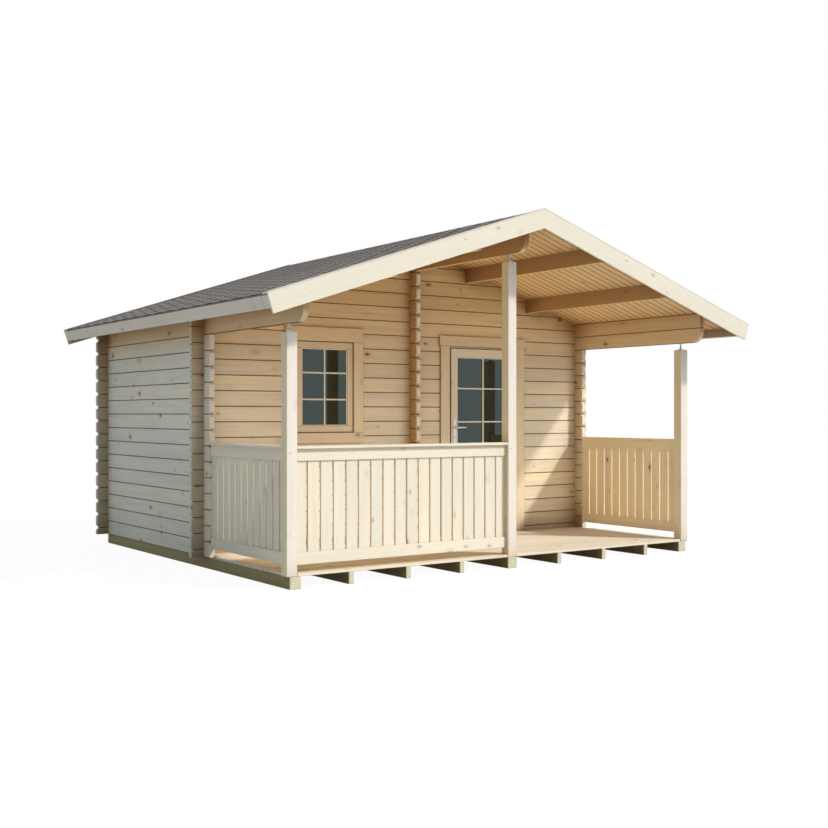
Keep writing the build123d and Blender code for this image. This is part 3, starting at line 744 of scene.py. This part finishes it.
class COTTAGE_OT_soffit(bpy.types.Operator):
    """Lays the narrow roof boards and finishes the purlins"""

    bl_idname = "cottage.soffit"
    bl_label = "Lay the roof boards"

    def execute(self, context):
        size, tints = sizes(), colours()
        wood = timber("soffit_timber", tints.warm, knots=0.6, edges=1.0, figure=0.5, vary=0.12)
        bevel, short = 0.0085, 0.002
        count = int(round((ROOF_ENDS[1] - ROOF_ENDS[0]) / size.soffit_board))
        edges = np.linspace(*ROOF_ENDS, count + 1)
        middles = (edges[:-1] + edges[1:]) / 2
        for name, side in SIDES:
            low, high = corners(f"{name}_roof_boards")
            run = (max(abs(low[0]), abs(high[0])) - BOARD_TOP * sin(ROOF_PITCH)) / cos(ROOF_PITCH)
            down = np.array([side * cos(ROOF_PITCH), 0.0, -sin(ROOF_PITCH)])
            centres = slope_point(side, np.full(count, run / 2), BOARD_TOP / 2, middles)
            boards = planks(centres, run - short, np.diff(edges), BOARD_TOP, down, (0.0, 1.0, 0.0), bevel)
            piece = add_pieces(f"{name}_soffit_boards", wood, "roof_timber", boards)
            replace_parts(piece, f"{name}_roof_boards")
        # Dark tint on the purlins' sides and the warm tint on their tops and bottoms: painted shade and
        # light.
        purlin = timber(
            "purlin_timber", tints.purlin, log_grain(1, 0, 2), single_marks, knots=0.6,
            ends=(2, tints.warm, 0.9),
        )
        finish(["ridge_purlin", "middle_purlins"], purlin)
        return {"FINISHED"}


class COTTAGE_OT_shingles(bpy.types.Operator):
    """Lays the shingles and the ridge caps"""

    bl_idname = "cottage.shingles"
    bl_label = "Lay the shingles"

    def execute(self, context):
        size, tints = sizes(), colours()
        felt = shingle_felt("shingle_felt", tints.shingle)
        under = roofing_felt("roofing_felt", tints.shingle)
        lath, under_lath = 0.09, 0.018
        inset = lath - under_lath
        ends = ROOF_ENDS[0] + inset, ROOF_ENDS[1] - inset
        for name, side in SIDES:
            self.tabs(name, side, size, felt, ends)
            finish([f"{name}_roofing"], under)
        self.caps(felt, ends)
        return {"FINISHED"}

    def tabs(self, name, side, size, felt, ends):
        """Tabs in courses. Each is a ring of four points carried down the slope over six stations.

        Down the slope the half width keeps to the half pitch and then narrows to the short lower edge, and
        the thickness grows towards it, so that every course stands proud of the one below. The part that
        shows in the notches of the course above is printed dark, and painted shadow darkens each tab on its
        butt and over its lower part towards it. A starter strip closes the notches along the eave, and strips
        of felt turn up against the laths.
        """
        low, high = corners(f"{name}_roofing")
        thin, thick, foot, splay, lip, sliver = 0.0003, 0.0076, 0.058, 0.005, 0.0018, 0.01
        run = (max(abs(low[0]), abs(high[0])) - FELT_TOP * sin(ROOF_PITCH)) / cos(ROOF_PITCH)
        rows = int(round(run / size.shingle_rise))
        rise = run / rows
        across = int(np.ceil((ends[1] - ends[0]) / size.shingle_tab)) + 2
        row, tab = np.divmod(np.arange(rows * across), across)
        shift = DRAWS.uniform(-0.004, 0.004, rows)
        centre = ends[0] + (tab - 0.5 + 0.5 * (row % 2)) * size.shingle_tab + shift[row]
        half = size.shingle_tab / 2 - size.shingle_slot / 2
        keep = (centre + half > ends[0] + sliver) & (centre - half < ends[1] - sliver)
        row, centre = row[keep], centre[keep]
        count = len(row)
        lower = (row + 1) * rise - lip + DRAWS.uniform(-0.0015, 0.0, count)
        up_shares = np.array([1.7, 1.02, 0.96, 0.8, 0.045, 0.0])
        below_ridge = np.arange(2, 8) * 0.001
        stations = np.maximum(lower[:, None] - up_shares * rise, below_ridge)
        widths = np.array([half, half, half, half, foot + splay, foot])
        lift_shares = np.array([0.0, 0.39, 0.43, 0.54, 0.97, 1.0])
        lift = thin + (thick + DRAWS.uniform(-0.0006, 0.0006, (count, 1)) - thin) * lift_shares
        signs, tops = np.array([-1.0, 1.0, 1.0, -1.0]), np.array([0.0, 0.0, 1.0, 1.0])
        depth = np.clip(centre[:, None, None] + side * widths[None, :, None] * signs, *ends)
        points = slope_point(side, stations[:, :, None], SHINGLE_BED + lift[:, :, None] * tops, depth)
        grain = points + DRAWS.uniform(0.0, 9.0, (count, 1, 1, 3))
        chance = DRAWS.uniform(0.0, 1.0, (count, 1, 1))
        # Dark in the notches: print. Dark on the butt and rising towards it over the tab's lower part:
        # painted shadow under each course.
        dark = np.array([0.55, 0.55, 0.0, 0.0, 0.5, 1.0])[None, :, None]
        marks = np.stack(np.broadcast_arrays(chance, dark, np.zeros((1, 1, 4))), -1)
        tabs = points, tube_faces(count, 6, 4), grain, marks
        eave, starter_top, upstand_top = run - 0.004, run - 0.16, 0.03
        starter, upstand, near, far = 0.0016, 0.0112, 0.014, 0.022
        strips = []
        for start, height, inner, outer in (
            (starter_top, starter, *ends),
            (upstand_top, upstand, ends[0] + near, ends[0] + far),
            (upstand_top, upstand, ends[1] - far, ends[1] - near),
        ):
            points = slope_point(
                side, np.array([start, eave])[None, :, None], SHINGLE_BED + height * tops,
                np.where(side * signs < 0.0, inner, outer),
            )
            marks = np.zeros(points.shape) + np.array([0.5, 0.85, 0.0])
            strips.append((points, tube_faces(1, 2, 4), points, marks))
        add_pieces(f"{name}_shingles", felt, "shingles", tabs, *strips)

    def caps(self, felt, ends):
        """Folded caps along the ridge: a ring of six points over the ridge, carried from front to back."""
        shows, half, fold, overlap_share = 0.15, 0.11, 0.010, 1.3
        count = int(round((ends[1] - ends[0]) / shows))
        starts = np.linspace(*ends, count + 1)[:-1]
        pitch = (ends[1] - ends[0]) / count
        depth = np.clip(starts[:, None] + np.array([0.0, fold, overlap_share * pitch]), *ends)
        lift = np.array([0.0062, 0.006, 0.0045])
        runs = half * np.array([1.0, 0.0, 1.0, 1.0, 0.0, 1.0])
        sides = np.array([1.0, 1.0, -1.0, -1.0, -1.0, 1.0])
        tops = np.array([0.0, 0.0, 0.0, 1.0, 1.0, 1.0])
        rises = SHINGLE_BED + lift[None, :, None] * tops
        ridge = runs == 0.0
        x = sides * runs * cos(ROOF_PITCH) + np.where(ridge, 0.0, sides * rises * sin(ROOF_PITCH))
        z = PEAK - runs * sin(ROOF_PITCH) + np.where(ridge, rises / cos(ROOF_PITCH), rises * cos(ROOF_PITCH))
        points = np.stack(np.broadcast_arrays(x, depth[:, :, None], z), -1)
        grain = points + DRAWS.uniform(0.0, 9.0, (count, 1, 1, 3))
        chance = DRAWS.uniform(0.0, 1.0, (count, 1, 1))
        dark = np.array([1.0, 0.2, 0.0])[None, :, None]
        marks = np.stack(np.broadcast_arrays(chance, dark, np.zeros((1, 1, 6))), -1)
        add_pieces("ridge_caps", felt, "shingles", (points, tube_faces(count, 3, 6), grain, marks))


class COTTAGE_OT_roof_edge(bpy.types.Operator):
    """Finishes the barge boards, the gable laths and the fascias"""

    bl_idname = "cottage.roof_edge"
    bl_label = "Finish the roof edge"

    def execute(self, context):
        tints = colours()
        for name, side in SIDES:
            sloping = slope_grain(side), single_marks
            board = timber(f"{name}_barge_timber", tints.pale, *sloping, knots=0.5, figure=0.22)
            finish([f"front_{name}_barge_board", f"rear_{name}_barge_board"], board)
            lath = timber(f"{name}_lath_timber", tints.fascia, *sloping, knots=0.5, figure=0.4)
            finish([f"{name}_gable_laths"], lath)
        fascia = timber(
            "fascia_timber", tints.fascia, log_grain(1, 0, 2), fascia_marks, knots=0.6, edges=0.55, figure=0.4
        )
        finish(["left_fascia", "right_fascia"], fascia)
        return {"FINISHED"}


class COTTAGE_OT_posts(bpy.types.Operator):
    """Sets up the posts and their screw jacks"""

    bl_idname = "cottage.posts"
    bl_label = "Set up the posts"

    # Shares of the pale tint on the fronts and on the sides; the sides' deeper honey is painted shade.
    tones = (1.0, 1.0, 1.09), (1.0, 0.90, 0.57)

    def execute(self, context):
        tints = colours()
        low, high = corners("veranda_posts")
        jacks = corners("post_jacks")
        width = high[1] - low[1]
        gap = jacks[1][2] - high[2]
        eave = corners("left_wall")[1][2] - gap
        lefts = np.array([low[0], -width / 2, high[0] - width])
        tops = np.array([eave, high[2], eave])
        ones = np.ones(3)
        front_tint, honey = (toned(tints.pale, *shares) for shares in self.tones)
        # The sides, square to x, take the deeper tint: painted shade.
        wood = timber(
            "post_timber", front_tint, knots=0.5, edges=0.12, figure=0.4, vary=0.05, ends=(0, honey, 0.6)
        )
        posts = between(
            np.stack([lefts, ones * low[1], ones * low[2]], -1),
            np.stack([lefts + width, ones * high[1], tops], -1), 2, 0.004,
        )
        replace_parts(add_pieces("posts", wood, "trim_timber", posts), "veranda_posts")

        middle = (low[1] + high[1]) / 2
        steel = zinc("jack_zinc", tints.steel)
        plate, saddle, thick, rod, nut = 0.028, 0.018, 0.004, 0.008, 0.0135
        thread, thread_depth = 0.0015, 0.0009
        left, right = (sum(corners(f"{name}_eave_beam"))[0] / 2 for name, _ in SIDES)
        groups = []
        for x, over, top in zip(lefts + width / 2, (left, 0.0, right), tops):
            groups.append(between(
                [(x - plate, middle - plate, top), (over - saddle, middle - plate, top + gap - thick)],
                [(x + plate, middle + plate, top + thick), (over + saddle, middle + plate, top + gap)],
                0, STRIP_EDGE,
            ))
            turns = np.arange(thick, gap - thick, thread)
            radii = rod - thread_depth * (np.arange(len(turns)) % 2)
            groups.append(turned((x, middle, top), (0, 0, 1), turns, radii, 16))
            groups.append(turned(
                (x, middle, top + thick), (0, 0, 1), (0.0, 0.0015, 0.0115, 0.013),
                nut * np.array([0.92, 1.0, 1.0, 0.92]), 6,
            ))
        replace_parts(add_pieces("screw_jacks", steel, "steel", *groups), "post_jacks")

        from_edge, level = 0.028, 1.017
        dark = zinc("screw_zinc", toned(tints.steel, 0.35, 0.35, 0.35), 0.4)
        heads = [
            screw_head((x, low[1], level), 0.0048, 0.0036, 0.0014, 0.001) for x in lefts + from_edge
        ]
        add_pieces("post_screws", dark, "steel", *heads)
        return {"FINISHED"}


class COTTAGE_OT_railings(bpy.types.Operator):
    """Builds the three railings from boards, rails and caps"""

    bl_idname = "cottage.railings"
    bl_label = "Build the railings"

    cap, rail, thick, board, slot, inset, let_in = 0.022, 0.092, 0.044, 0.018, 0.015, 0.030, 0.03

    def execute(self, context):
        pale = colours().pale
        wood = timber("railing_timber", pale, knots=0.5, edges=0.4, figure=0.35, vary=0.07, corner_shade=0.3)
        # The right railing is a darker, warmer copy of the railing timber: painted shade over it.
        honey = timber(
            "right_railing_shaded_timber", toned(pale, 1.0, 0.93, 0.80), knots=0.8, edges=0.1, figure=0.5, vary=0.1,
            corner_shade=0.0,
        )
        self.build("front", 0, 1, 1.0, 18, wood)
        self.build("left", 1, 0, 1.0, 12, wood)
        self.build("right", 1, 0, -1.0, 12, honey)
        return {"FINISHED"}

    def build(self, name, along, through, inward, count, wood):
        """Upright boards let into two rails, under a cap.

        Along and through are axes. Inward is the sign of the way into the veranda.
        """
        low, high = corners(f"{name}_railing")
        under = high[2] - self.cap
        outer = (low if inward > 0 else high)[through] + inward * self.inset
        pitch = (high[along] - low[along] + self.slot) / count
        near = low[along] + np.arange(count) * pitch
        set_in = (self.thick - self.board) / 2

        def lay(first, last, deep, shallow, bottom, top, axis, edge):
            start, stop = np.zeros((2, np.broadcast(first, bottom).size, 3))
            start[:, along], stop[:, along] = first, last
            start[:, through], stop[:, through] = min(deep, shallow), max(deep, shallow)
            start[:, 2], stop[:, 2] = bottom, top
            return between(start, stop, axis, edge)

        boards = lay(
            near, near + pitch - self.slot, outer + inward * set_in, outer + inward * (set_in + self.board),
            low[2] + self.let_in, under - self.let_in, 2, 0.002,
        )
        rails = lay(
            low[along], high[along], outer, outer + inward * self.thick,
            np.array([low[2], under - self.rail]), np.array([low[2] + self.rail, under]), along, 0.0025,
        )
        cap = lay(low[along], high[along], low[through], high[through], under, high[2], along, EASED)
        piece = add_pieces(f"{name}_rail_boards", wood, "trim_timber", boards, rails, cap)
        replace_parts(piece, f"{name}_railing")


def grown(sides, by):
    """Left, right, bottom and top of an opening that is wider by a length all round."""
    left, right, bottom, top = sides
    return left - by, right + by, bottom - by, top + by


def face_of(low, high):
    """Left, right, bottom and top of a box seen from the front."""
    return low[0], high[0], low[2], high[2]


def joinery_ring(outer, inner, front, back, edge):
    """Four boards round an opening: two uprights, and a head and a foot across their ends.

    Outer and inner are left, right, bottom and top. The grain runs along each board.
    """
    left, right, bottom, top = outer
    in_left, in_right, in_bottom, in_top = inner
    uprights = between(
        [(left, front, in_bottom), (in_right, front, in_bottom)],
        [(in_left, back, in_top), (right, back, in_top)], 2, edge,
    )
    lying = between(
        [(left, front, bottom), (left, front, in_top)],
        [(right, back, in_bottom), (right, back, top)], 0, edge,
    )
    return uprights, lying


def glazing(low, high, shares, size):
    """Bars on both faces of a pane, and a bead round it on each."""
    bar, bead, proud = size.bar_width / 2, size.bead_width, 0.012
    middle = (low[0] + high[0]) / 2
    heights = low[2] + (high[2] - low[2]) * np.array(shares)
    groups = []
    for front, back in ((low[1] - proud, low[1]), (high[1], high[1] + proud)):
        groups.append(between([(middle - bar, front, low[2])], [(middle + bar, back, high[2])], 2, EASED))
        groups.append(between(
            [(left, front + 0.001, height - bar) for height in heights for left in (low[0], middle + bar)],
            [(right, back, height + bar) for height in heights for right in (middle - bar, high[0])],
            0, EASED,
        ))
        rim = face_of(low, high)
        groups += joinery_ring(rim, grown(rim, -bead), front + 0.002, back, EASED)
    return groups


def casing_timber(name, tints):
    """The timber of casings and sash, with painted shade deepening it towards the roof."""
    return timber(name, tints.joinery, knots=0.5, edges=0.6, figure=0.4, vary=0.06, roof_shade=(1.3, 2.9))


def bar_timber(name, tints):
    """The cream timber of glazing bars and beads."""
    return timber(name, tints.bars, knots=0.0, edges=0.1, figure=0.3, vary=0.03, corner_shade=0.2)


class COTTAGE_OT_window(bpy.types.Operator):
    """Builds the window's casing, sash and glazing bars"""

    bl_idname = "cottage.window"
    bl_label = "Build the window"

    def execute(self, context):
        size, tints = sizes(), colours()
        wood = casing_timber("window_timber", tints)
        cream = bar_timber("bar_timber", tints)
        glass = corners("window_glass")
        frame_low, frame_high = corners("window_frame")
        case_low, case_high = corners("window_casing")
        sash, gap, set_back = 0.062, 0.0025, 0.018
        light = face_of(*glass)
        outline = grown(light, sash)
        rim = face_of(frame_low, frame_high)
        ring = [
            *joinery_ring(rim, outline, WALL_FRONT + set_back, frame_high[1], 0.001),
            *joinery_ring(grown(outline, -gap), light, frame_low[1], frame_high[1], EASED),
        ]
        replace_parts(add_pieces("window_sash", wood, "joinery_timber", *ring), "window_frame")
        outer = face_of(case_low, case_high)
        boards = joinery_ring(outer, grown(outline, gap), case_low[1], case_high[1], EASED)
        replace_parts(add_pieces("window_casing_boards", wood, "joinery_timber", *boards), "window_casing")
        add_pieces("window_bars", cream, "joinery_timber", *glazing(*glass, (0.340, 0.684), size))
        finish(["window_glass"], pane("window_pane", tints.glass))
        return {"FINISHED"}


class COTTAGE_OT_door(bpy.types.Operator):
    """Builds the door's casing, leaf, panel and glazing bars"""

    bl_idname = "cottage.door"
    bl_label = "Build the door"

    def execute(self, context):
        size, tints = sizes(), colours()
        wood = casing_timber("door_timber", tints)
        leaf_wood = timber("leaf_timber", tints.leaf, knots=0.4, edges=0.4, figure=0.4, vary=0.05)
        cream = bar_timber("door_bar_timber", tints)
        upright = log_grain(2, 0, 1), single_marks
        finish(["door_frame"], timber("door_frame_timber", tints.joinery, *upright, knots=0.3))
        low, high = corners("door_casing")
        width, ear, head = 0.110, 0.013, 0.100
        sides = between(
            [(low[0] + ear, low[1], low[2]), (high[0] - ear - width, low[1], low[2])],
            [(low[0] + ear + width, high[1], high[2] - head), (high[0] - ear, high[1], high[2] - head)],
            2, EASED,
        )
        top = between([(low[0], low[1], high[2] - head)], [(high[0], high[1], high[2])], 0, EASED)
        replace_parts(add_pieces("door_casing_boards", wood, "joinery_timber", sides, top), "door_casing")

        low, high = corners("door_leaf")
        glass, panel = corners("door_glass"), corners("door_panel")
        stiles = between(
            [(low[0], low[1], low[2]), (glass[1][0], low[1], low[2])],
            [(glass[0][0], high[1], high[2]), (high[0], high[1], high[2])], 2, EASED,
        )
        rails = between(
            [(glass[0][0], low[1], bottom) for bottom in (low[2], panel[1][2], glass[1][2])],
            [(glass[1][0], high[1], above) for above in (panel[0][2], glass[0][2], high[2])], 0, EASED,
        )
        leaf = add_pieces("leaf_stiles_and_rails", leaf_wood, "joinery_timber", stiles, rails, body=DOOR)
        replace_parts(leaf, "door_leaf")
        panel_boards = 8
        edges = np.linspace(panel[0][0], panel[1][0], panel_boards + 1)
        boards = board_row(*panel, edges[:-1], edges[1:], 0, 2, EASED)
        piece = add_pieces("leaf_panel_boards", leaf_wood, "joinery_timber", boards, body=DOOR)
        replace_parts(piece, "door_panel")
        add_pieces("door_bars", cream, "joinery_timber", *glazing(*glass, (0.343, 0.682), size), body=DOOR)
        finish(["door_glass"], pane("door_pane", tints.glass))
        return {"FINISHED"}


class COTTAGE_OT_fittings(bpy.types.Operator):
    """Fits the hinges, the lock plate and the lever"""

    bl_idname = "cottage.fittings"
    bl_label = "Fit the door's fittings"

    def execute(self, context):
        tints = colours()
        satin = zinc("fitting_steel", tints.steel, 0.28, 0.9)
        self.hinges(satin)
        finish(["lock_plate"], satin)
        plate = corners("lock_plate")
        middle, face = (plate[0][0] + plate[1][0]) / 2, plate[0][1]
        self.lever(satin, middle, face)
        # Near-black steel for the key slot: painted shade.
        dark = zinc("keyhole_shade", toned(tints.steel, 0.12, 0.12, 0.12), 0.45)
        self.lock(satin, dark, middle, face, plate[0][2], plate[1][2])
        return {"FINISHED"}

    def lever(self, satin, x, face):
        """A round bar that bends out of its collar and tapers along its arm to a rounded tip."""
        low, high = corners("door_lever")
        height, radius = (low[2] + high[2]) / 2, (high[2] - low[2]) / 2
        far, reach, bend = low[1] + radius, high[0] - radius * 0.4, 0.014
        turn = np.linspace(pi, 1.5 * pi, 9)[1:]
        neck = np.linspace(high[1], far + bend, 8)
        arm = np.linspace(x + bend, reach, 14)[1:]
        across = np.concatenate([np.full(8, x), x + bend + bend * np.cos(turn), arm])
        deep = np.concatenate([neck, far + bend + bend * np.sin(turn), np.full(13, far)])
        path = np.stack([across, deep, np.full(len(deep), height)], -1)
        full = np.full(len(path), radius)
        full[:8] *= 0.98
        full[-2:] *= 0.95, 0.55
        taper = np.clip((across - x - bend) / (reach - x - bend), 0.0, 1.0)
        radii = full[:, None] * (1.0 - taper[:, None] * np.array([0.12, 0.32]))
        handle = swept(path, radii, (0.0, 0.0, 1.0), 20)
        collar = turned(
            (x, face - 0.0006, height), (0, -1, 0), (0.0, 0.0005, 0.003, 0.004),
            radius + np.array([0.005, 0.0055, 0.0055, 0.0045]), 28,
        )
        piece = add_pieces("lever_handle", satin, "steel", handle, collar, body=LEVER, smooth=True)
        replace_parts(piece, "door_lever")

    def lock(self, satin, dark, x, face, bottom, top):
        """The key's barrel with a near-black bar on its face, painted shade standing for the keyhole, and the
        two screws of the plate.
        """
        level, from_end = bottom + 0.052, 0.016
        half_slot, half_key, proud, depth = 0.0012, 0.005, 0.0056, 0.004
        barrel = turned((x, face, level), (0, -1, 0), (0.0, 0.004, 0.005), (0.0085, 0.0085, 0.0075))
        screws = [
            screw_head((x, face, height), 0.0042, 0.003, 0.0018)
            for height in (bottom + from_end, top - from_end)
        ]
        add_pieces("key_barrel", satin, "steel", barrel, *screws, body=DOOR)
        # The slot is a near-black bar standing a little proud of the barrel: painted shade of the keyhole.
        slot = between(
            [(x - half_slot, face - proud, level - half_key)],
            [(x + half_slot, face - depth, level + half_key)], 2, 0.0004,
        )
        add_pieces("key_slot", dark, "steel", slot, body=DOOR)

    def hinges(self, satin):
        """Two lift-off hinges: a turned barrel on the frame, and one on the leaf with a screwed plate."""
        pins, knuckles = corners("hinge_pins"), corners("hinge_knuckles")
        half, radius, gap, thick, tab, from_edge = 0.045, 0.008, 0.003, 0.005, 0.019, 0.012
        x, y = pins[0][0] + radius, pins[0][1] + radius
        edge, face = knuckles[0][0], knuckles[1][1]
        pin_cut = np.array([-half, -half + 0.002, -gap - 0.001, -gap, -gap, gap - 0.0005])
        pin_radii = radius * np.array([0.75, 1.0, 1.0, 0.9, 0.6, 0.6])
        knuckle_cut = np.array([gap, gap + 0.001, half - 0.002, half])
        knuckle_radii = radius * np.array([0.9, 1.0, 1.0, 0.75])
        fixed, hung = [], []
        for middle in (pins[0][2] + half, pins[1][2] - half + gap):
            fixed.append(turned((x, y, middle), (0, 0, 1), pin_cut, pin_radii))
            fixed.append(between(
                [(x, pins[1][1] - thick, middle - half)], [(x + tab, pins[1][1], middle - gap)], 2, STRIP_EDGE
            ))
            hung.append(turned((x, y, middle), (0, 0, 1), knuckle_cut, knuckle_radii))
            hung.append(between(
                [(edge, face - thick, middle + gap)], [(x, face, middle + half)], 2, STRIP_EDGE
            ))
            hung += [
                screw_head((edge + from_edge, face - thick, middle + level), 0.0038, 0.0026, 0.0014)
                for level in (0.013, 0.035)
            ]
        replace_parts(add_pieces("hinge_barrels", satin, "steel", *fixed), "hinge_pins")
        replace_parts(add_pieces("hinge_leaves", satin, "steel", *hung, body=DOOR), "hinge_knuckles")


class COTTAGE_OT_stage(bpy.types.Operator):
    """Sets the floor, the light and the camera"""

    bl_idname = "cottage.stage"
    bl_label = "Set the stage"

    # The camera's place, heading, focal length and sensor were fitted to the photograph.
    eye, heading, focal, sensor = (-6.2735, -9.3464, 1.3104), radians(34.794), 50.06, 36.0
    daylight, skylight = (1.0, 0.965, 0.91), (0.74, 0.88, 1.0)

    def execute(self, context):
        scene = context.scene
        scene.view_settings.view_transform = "Standard"
        self.floor()
        self.sky(scene)
        self.sun("sun", 2.35, (0.84, -1.0, 1.02), 4.0)
        self.sun("bright_haze", 0.65, (0.92, -1.0, 0.66), 20.0)
        self.panel_lamp("deck_glow", 7.4, (1.0, 0.74, 0.42), (0.0, -1.03, 0.17), pi, (4.0, 1.15))
        self.panel_lamp("porch_glow", 2.8, (1.0, 0.79, 0.54), (0.0, -1.62, 1.3), pi / 2, (3.9, 0.7))
        lens = bpy.data.cameras.new("photo_camera")
        lens.lens = self.focal
        lens.sensor_width = self.sensor
        camera = bpy.data.objects.new("photo_camera", lens)
        camera.location = self.eye
        camera.rotation_euler = (pi / 2, 0.0, -self.heading)
        scene.collection.objects.link(camera)
        scene.camera = camera
        return {"FINISHED"}

    def lamp(self, name, kind, energy, tint, place, turn):
        """One lamp at a place, turned by three angles."""
        light = bpy.data.lights.new(name, kind)
        light.energy = energy
        light.color = tint
        piece = bpy.data.objects.new(name, light)
        piece.location = place
        piece.rotation_euler = [float(angle) for angle in turn]
        bpy.context.scene.collection.objects.link(piece)
        return piece

    def sun(self, name, energy, towards, angle):
        """A distant lamp in a direction, as wide as an angle in degrees."""
        x, y, z = towards
        turn = (np.arctan2(np.hypot(x, y), z), 0.0, np.arctan2(x, -y))
        self.lamp(name, "SUN", energy, self.daylight, (0.0, -8.0, 8.0), turn).data.angle = radians(angle)

    def panel_lamp(self, name, energy, tint, place, tilt, size):
        """A soft lamp that stands for light thrown back inside the veranda, unseen itself."""
        piece = self.lamp(name, "AREA", energy, tint, place, (tilt, 0.0, 0.0))
        piece.data.shape = "RECTANGLE"
        piece.data.size, piece.data.size_y = size
        piece.visible_camera = False
        piece.visible_glossy = False
        piece.visible_transmission = False

    def seen(self, start):
        """1 where the camera sees straight, in a mirror or through glass."""
        ways = start.node("ShaderNodeLightPath").socket.node.outputs
        straight, mirrored, through = (
            Wire(start.tree, ways[f"Is {kind} Ray"]) for kind in ("Camera", "Glossy", "Transmission")
        )
        return straight.most(mirrored).most(through)

    def floor(self):
        """A wide flat sheet, white to the camera, which keeps a faint shadow."""
        reach, glow_strength, glow_share = 60.0, 1.06, 0.90
        line = np.linspace(-reach, reach, 3)
        x, y = np.meshgrid(line, line)
        points = np.stack([x, y, np.zeros_like(x)], -1)
        corner = np.array([0, 1, 3, 4])
        mesh = bpy.data.meshes.new("floor")
        mesh.from_pydata(
            points.reshape(-1, 3), [], np.stack([corner, corner + 1, corner + 4, corner + 3], -1).tolist()
        )
        material, shader, start = new_material("floor_white")
        attach(shader, Base_Color=(0.70, 0.70, 0.70, 1.0), Roughness=1.0, Specular_IOR_Level=0.0)
        tree = material.node_tree
        glow = tree.nodes.new("ShaderNodeEmission")
        glow.inputs["Strength"].default_value = glow_strength
        mix = tree.nodes.new("ShaderNodeMixShader")
        tree.links.new((self.seen(start) * glow_share).socket, mix.inputs[0])
        tree.links.new(shader.outputs[0], mix.inputs[1])
        tree.links.new(glow.outputs[0], mix.inputs[2])
        tree.links.new(mix.outputs[0], tree.nodes["Material Output"].inputs[0])
        mesh.materials.append(material)
        sheet = bpy.data.objects.new("floor", mesh)
        bpy.context.scene.collection.objects.link(sheet)

    def sky(self, scene):
        """Pale blue sky light, with white where the camera sees it."""
        world = bpy.data.worlds.new("studio")
        scene.world = world
        world.use_nodes = True
        tree = world.node_tree
        start = Wire(tree)
        flag = self.seen(start)
        tint = tint_of(start, self.skylight).blend((1.0, 1.0, 1.0, 1.0), flag)
        back = tree.nodes["Background"]
        dim = 0.42
        attach(back, Color=tint, Strength=dim + flag * (1.0 - dim))


class COTTAGE_PT_panel(bpy.types.Panel):
    """Sizes, colours and steps of the cottage"""

    bl_idname = "COTTAGE_PT_panel"
    bl_label = "Cottage"
    bl_space_type = "VIEW_3D"
    bl_region_type = "UI"
    bl_category = "Cottage"

    def draw(self, context):
        for group in (context.scene.cottage_sizes, context.scene.cottage_colours):
            for name in group.__annotations__:
                self.layout.prop(group, name)
        for step in STEPS:
            self.layout.operator(step.bl_idname)


STEPS = (
    COTTAGE_OT_walls,
    COTTAGE_OT_base,
    COTTAGE_OT_deck,
    COTTAGE_OT_soffit,
    COTTAGE_OT_shingles,
    COTTAGE_OT_roof_edge,
    COTTAGE_OT_posts,
    COTTAGE_OT_railings,
    COTTAGE_OT_window,
    COTTAGE_OT_door,
    COTTAGE_OT_fittings,
    COTTAGE_OT_stage,
)
CLASSES = (CottageSizes, CottageColours, *STEPS, COTTAGE_PT_panel)


def register():
    """Registers the classes and gives the scene its sizes and colours."""
    for item in CLASSES:
        bpy.utils.register_class(item)
    bpy.types.Scene.cottage_sizes = bpy.props.PointerProperty(type=CottageSizes)
    bpy.types.Scene.cottage_colours = bpy.props.PointerProperty(type=CottageColours)


def unregister():
    """Takes them away again."""
    del bpy.types.Scene.cottage_colours
    del bpy.types.Scene.cottage_sizes
    for item in reversed(CLASSES):
        bpy.utils.unregister_class(item)


def main():
    """Runs every step in order."""
    register()
    for step in STEPS:
        group, name = step.bl_idname.split(".")
        getattr(getattr(bpy.ops, group), name)()


if __name__ == "__main__":
    main()
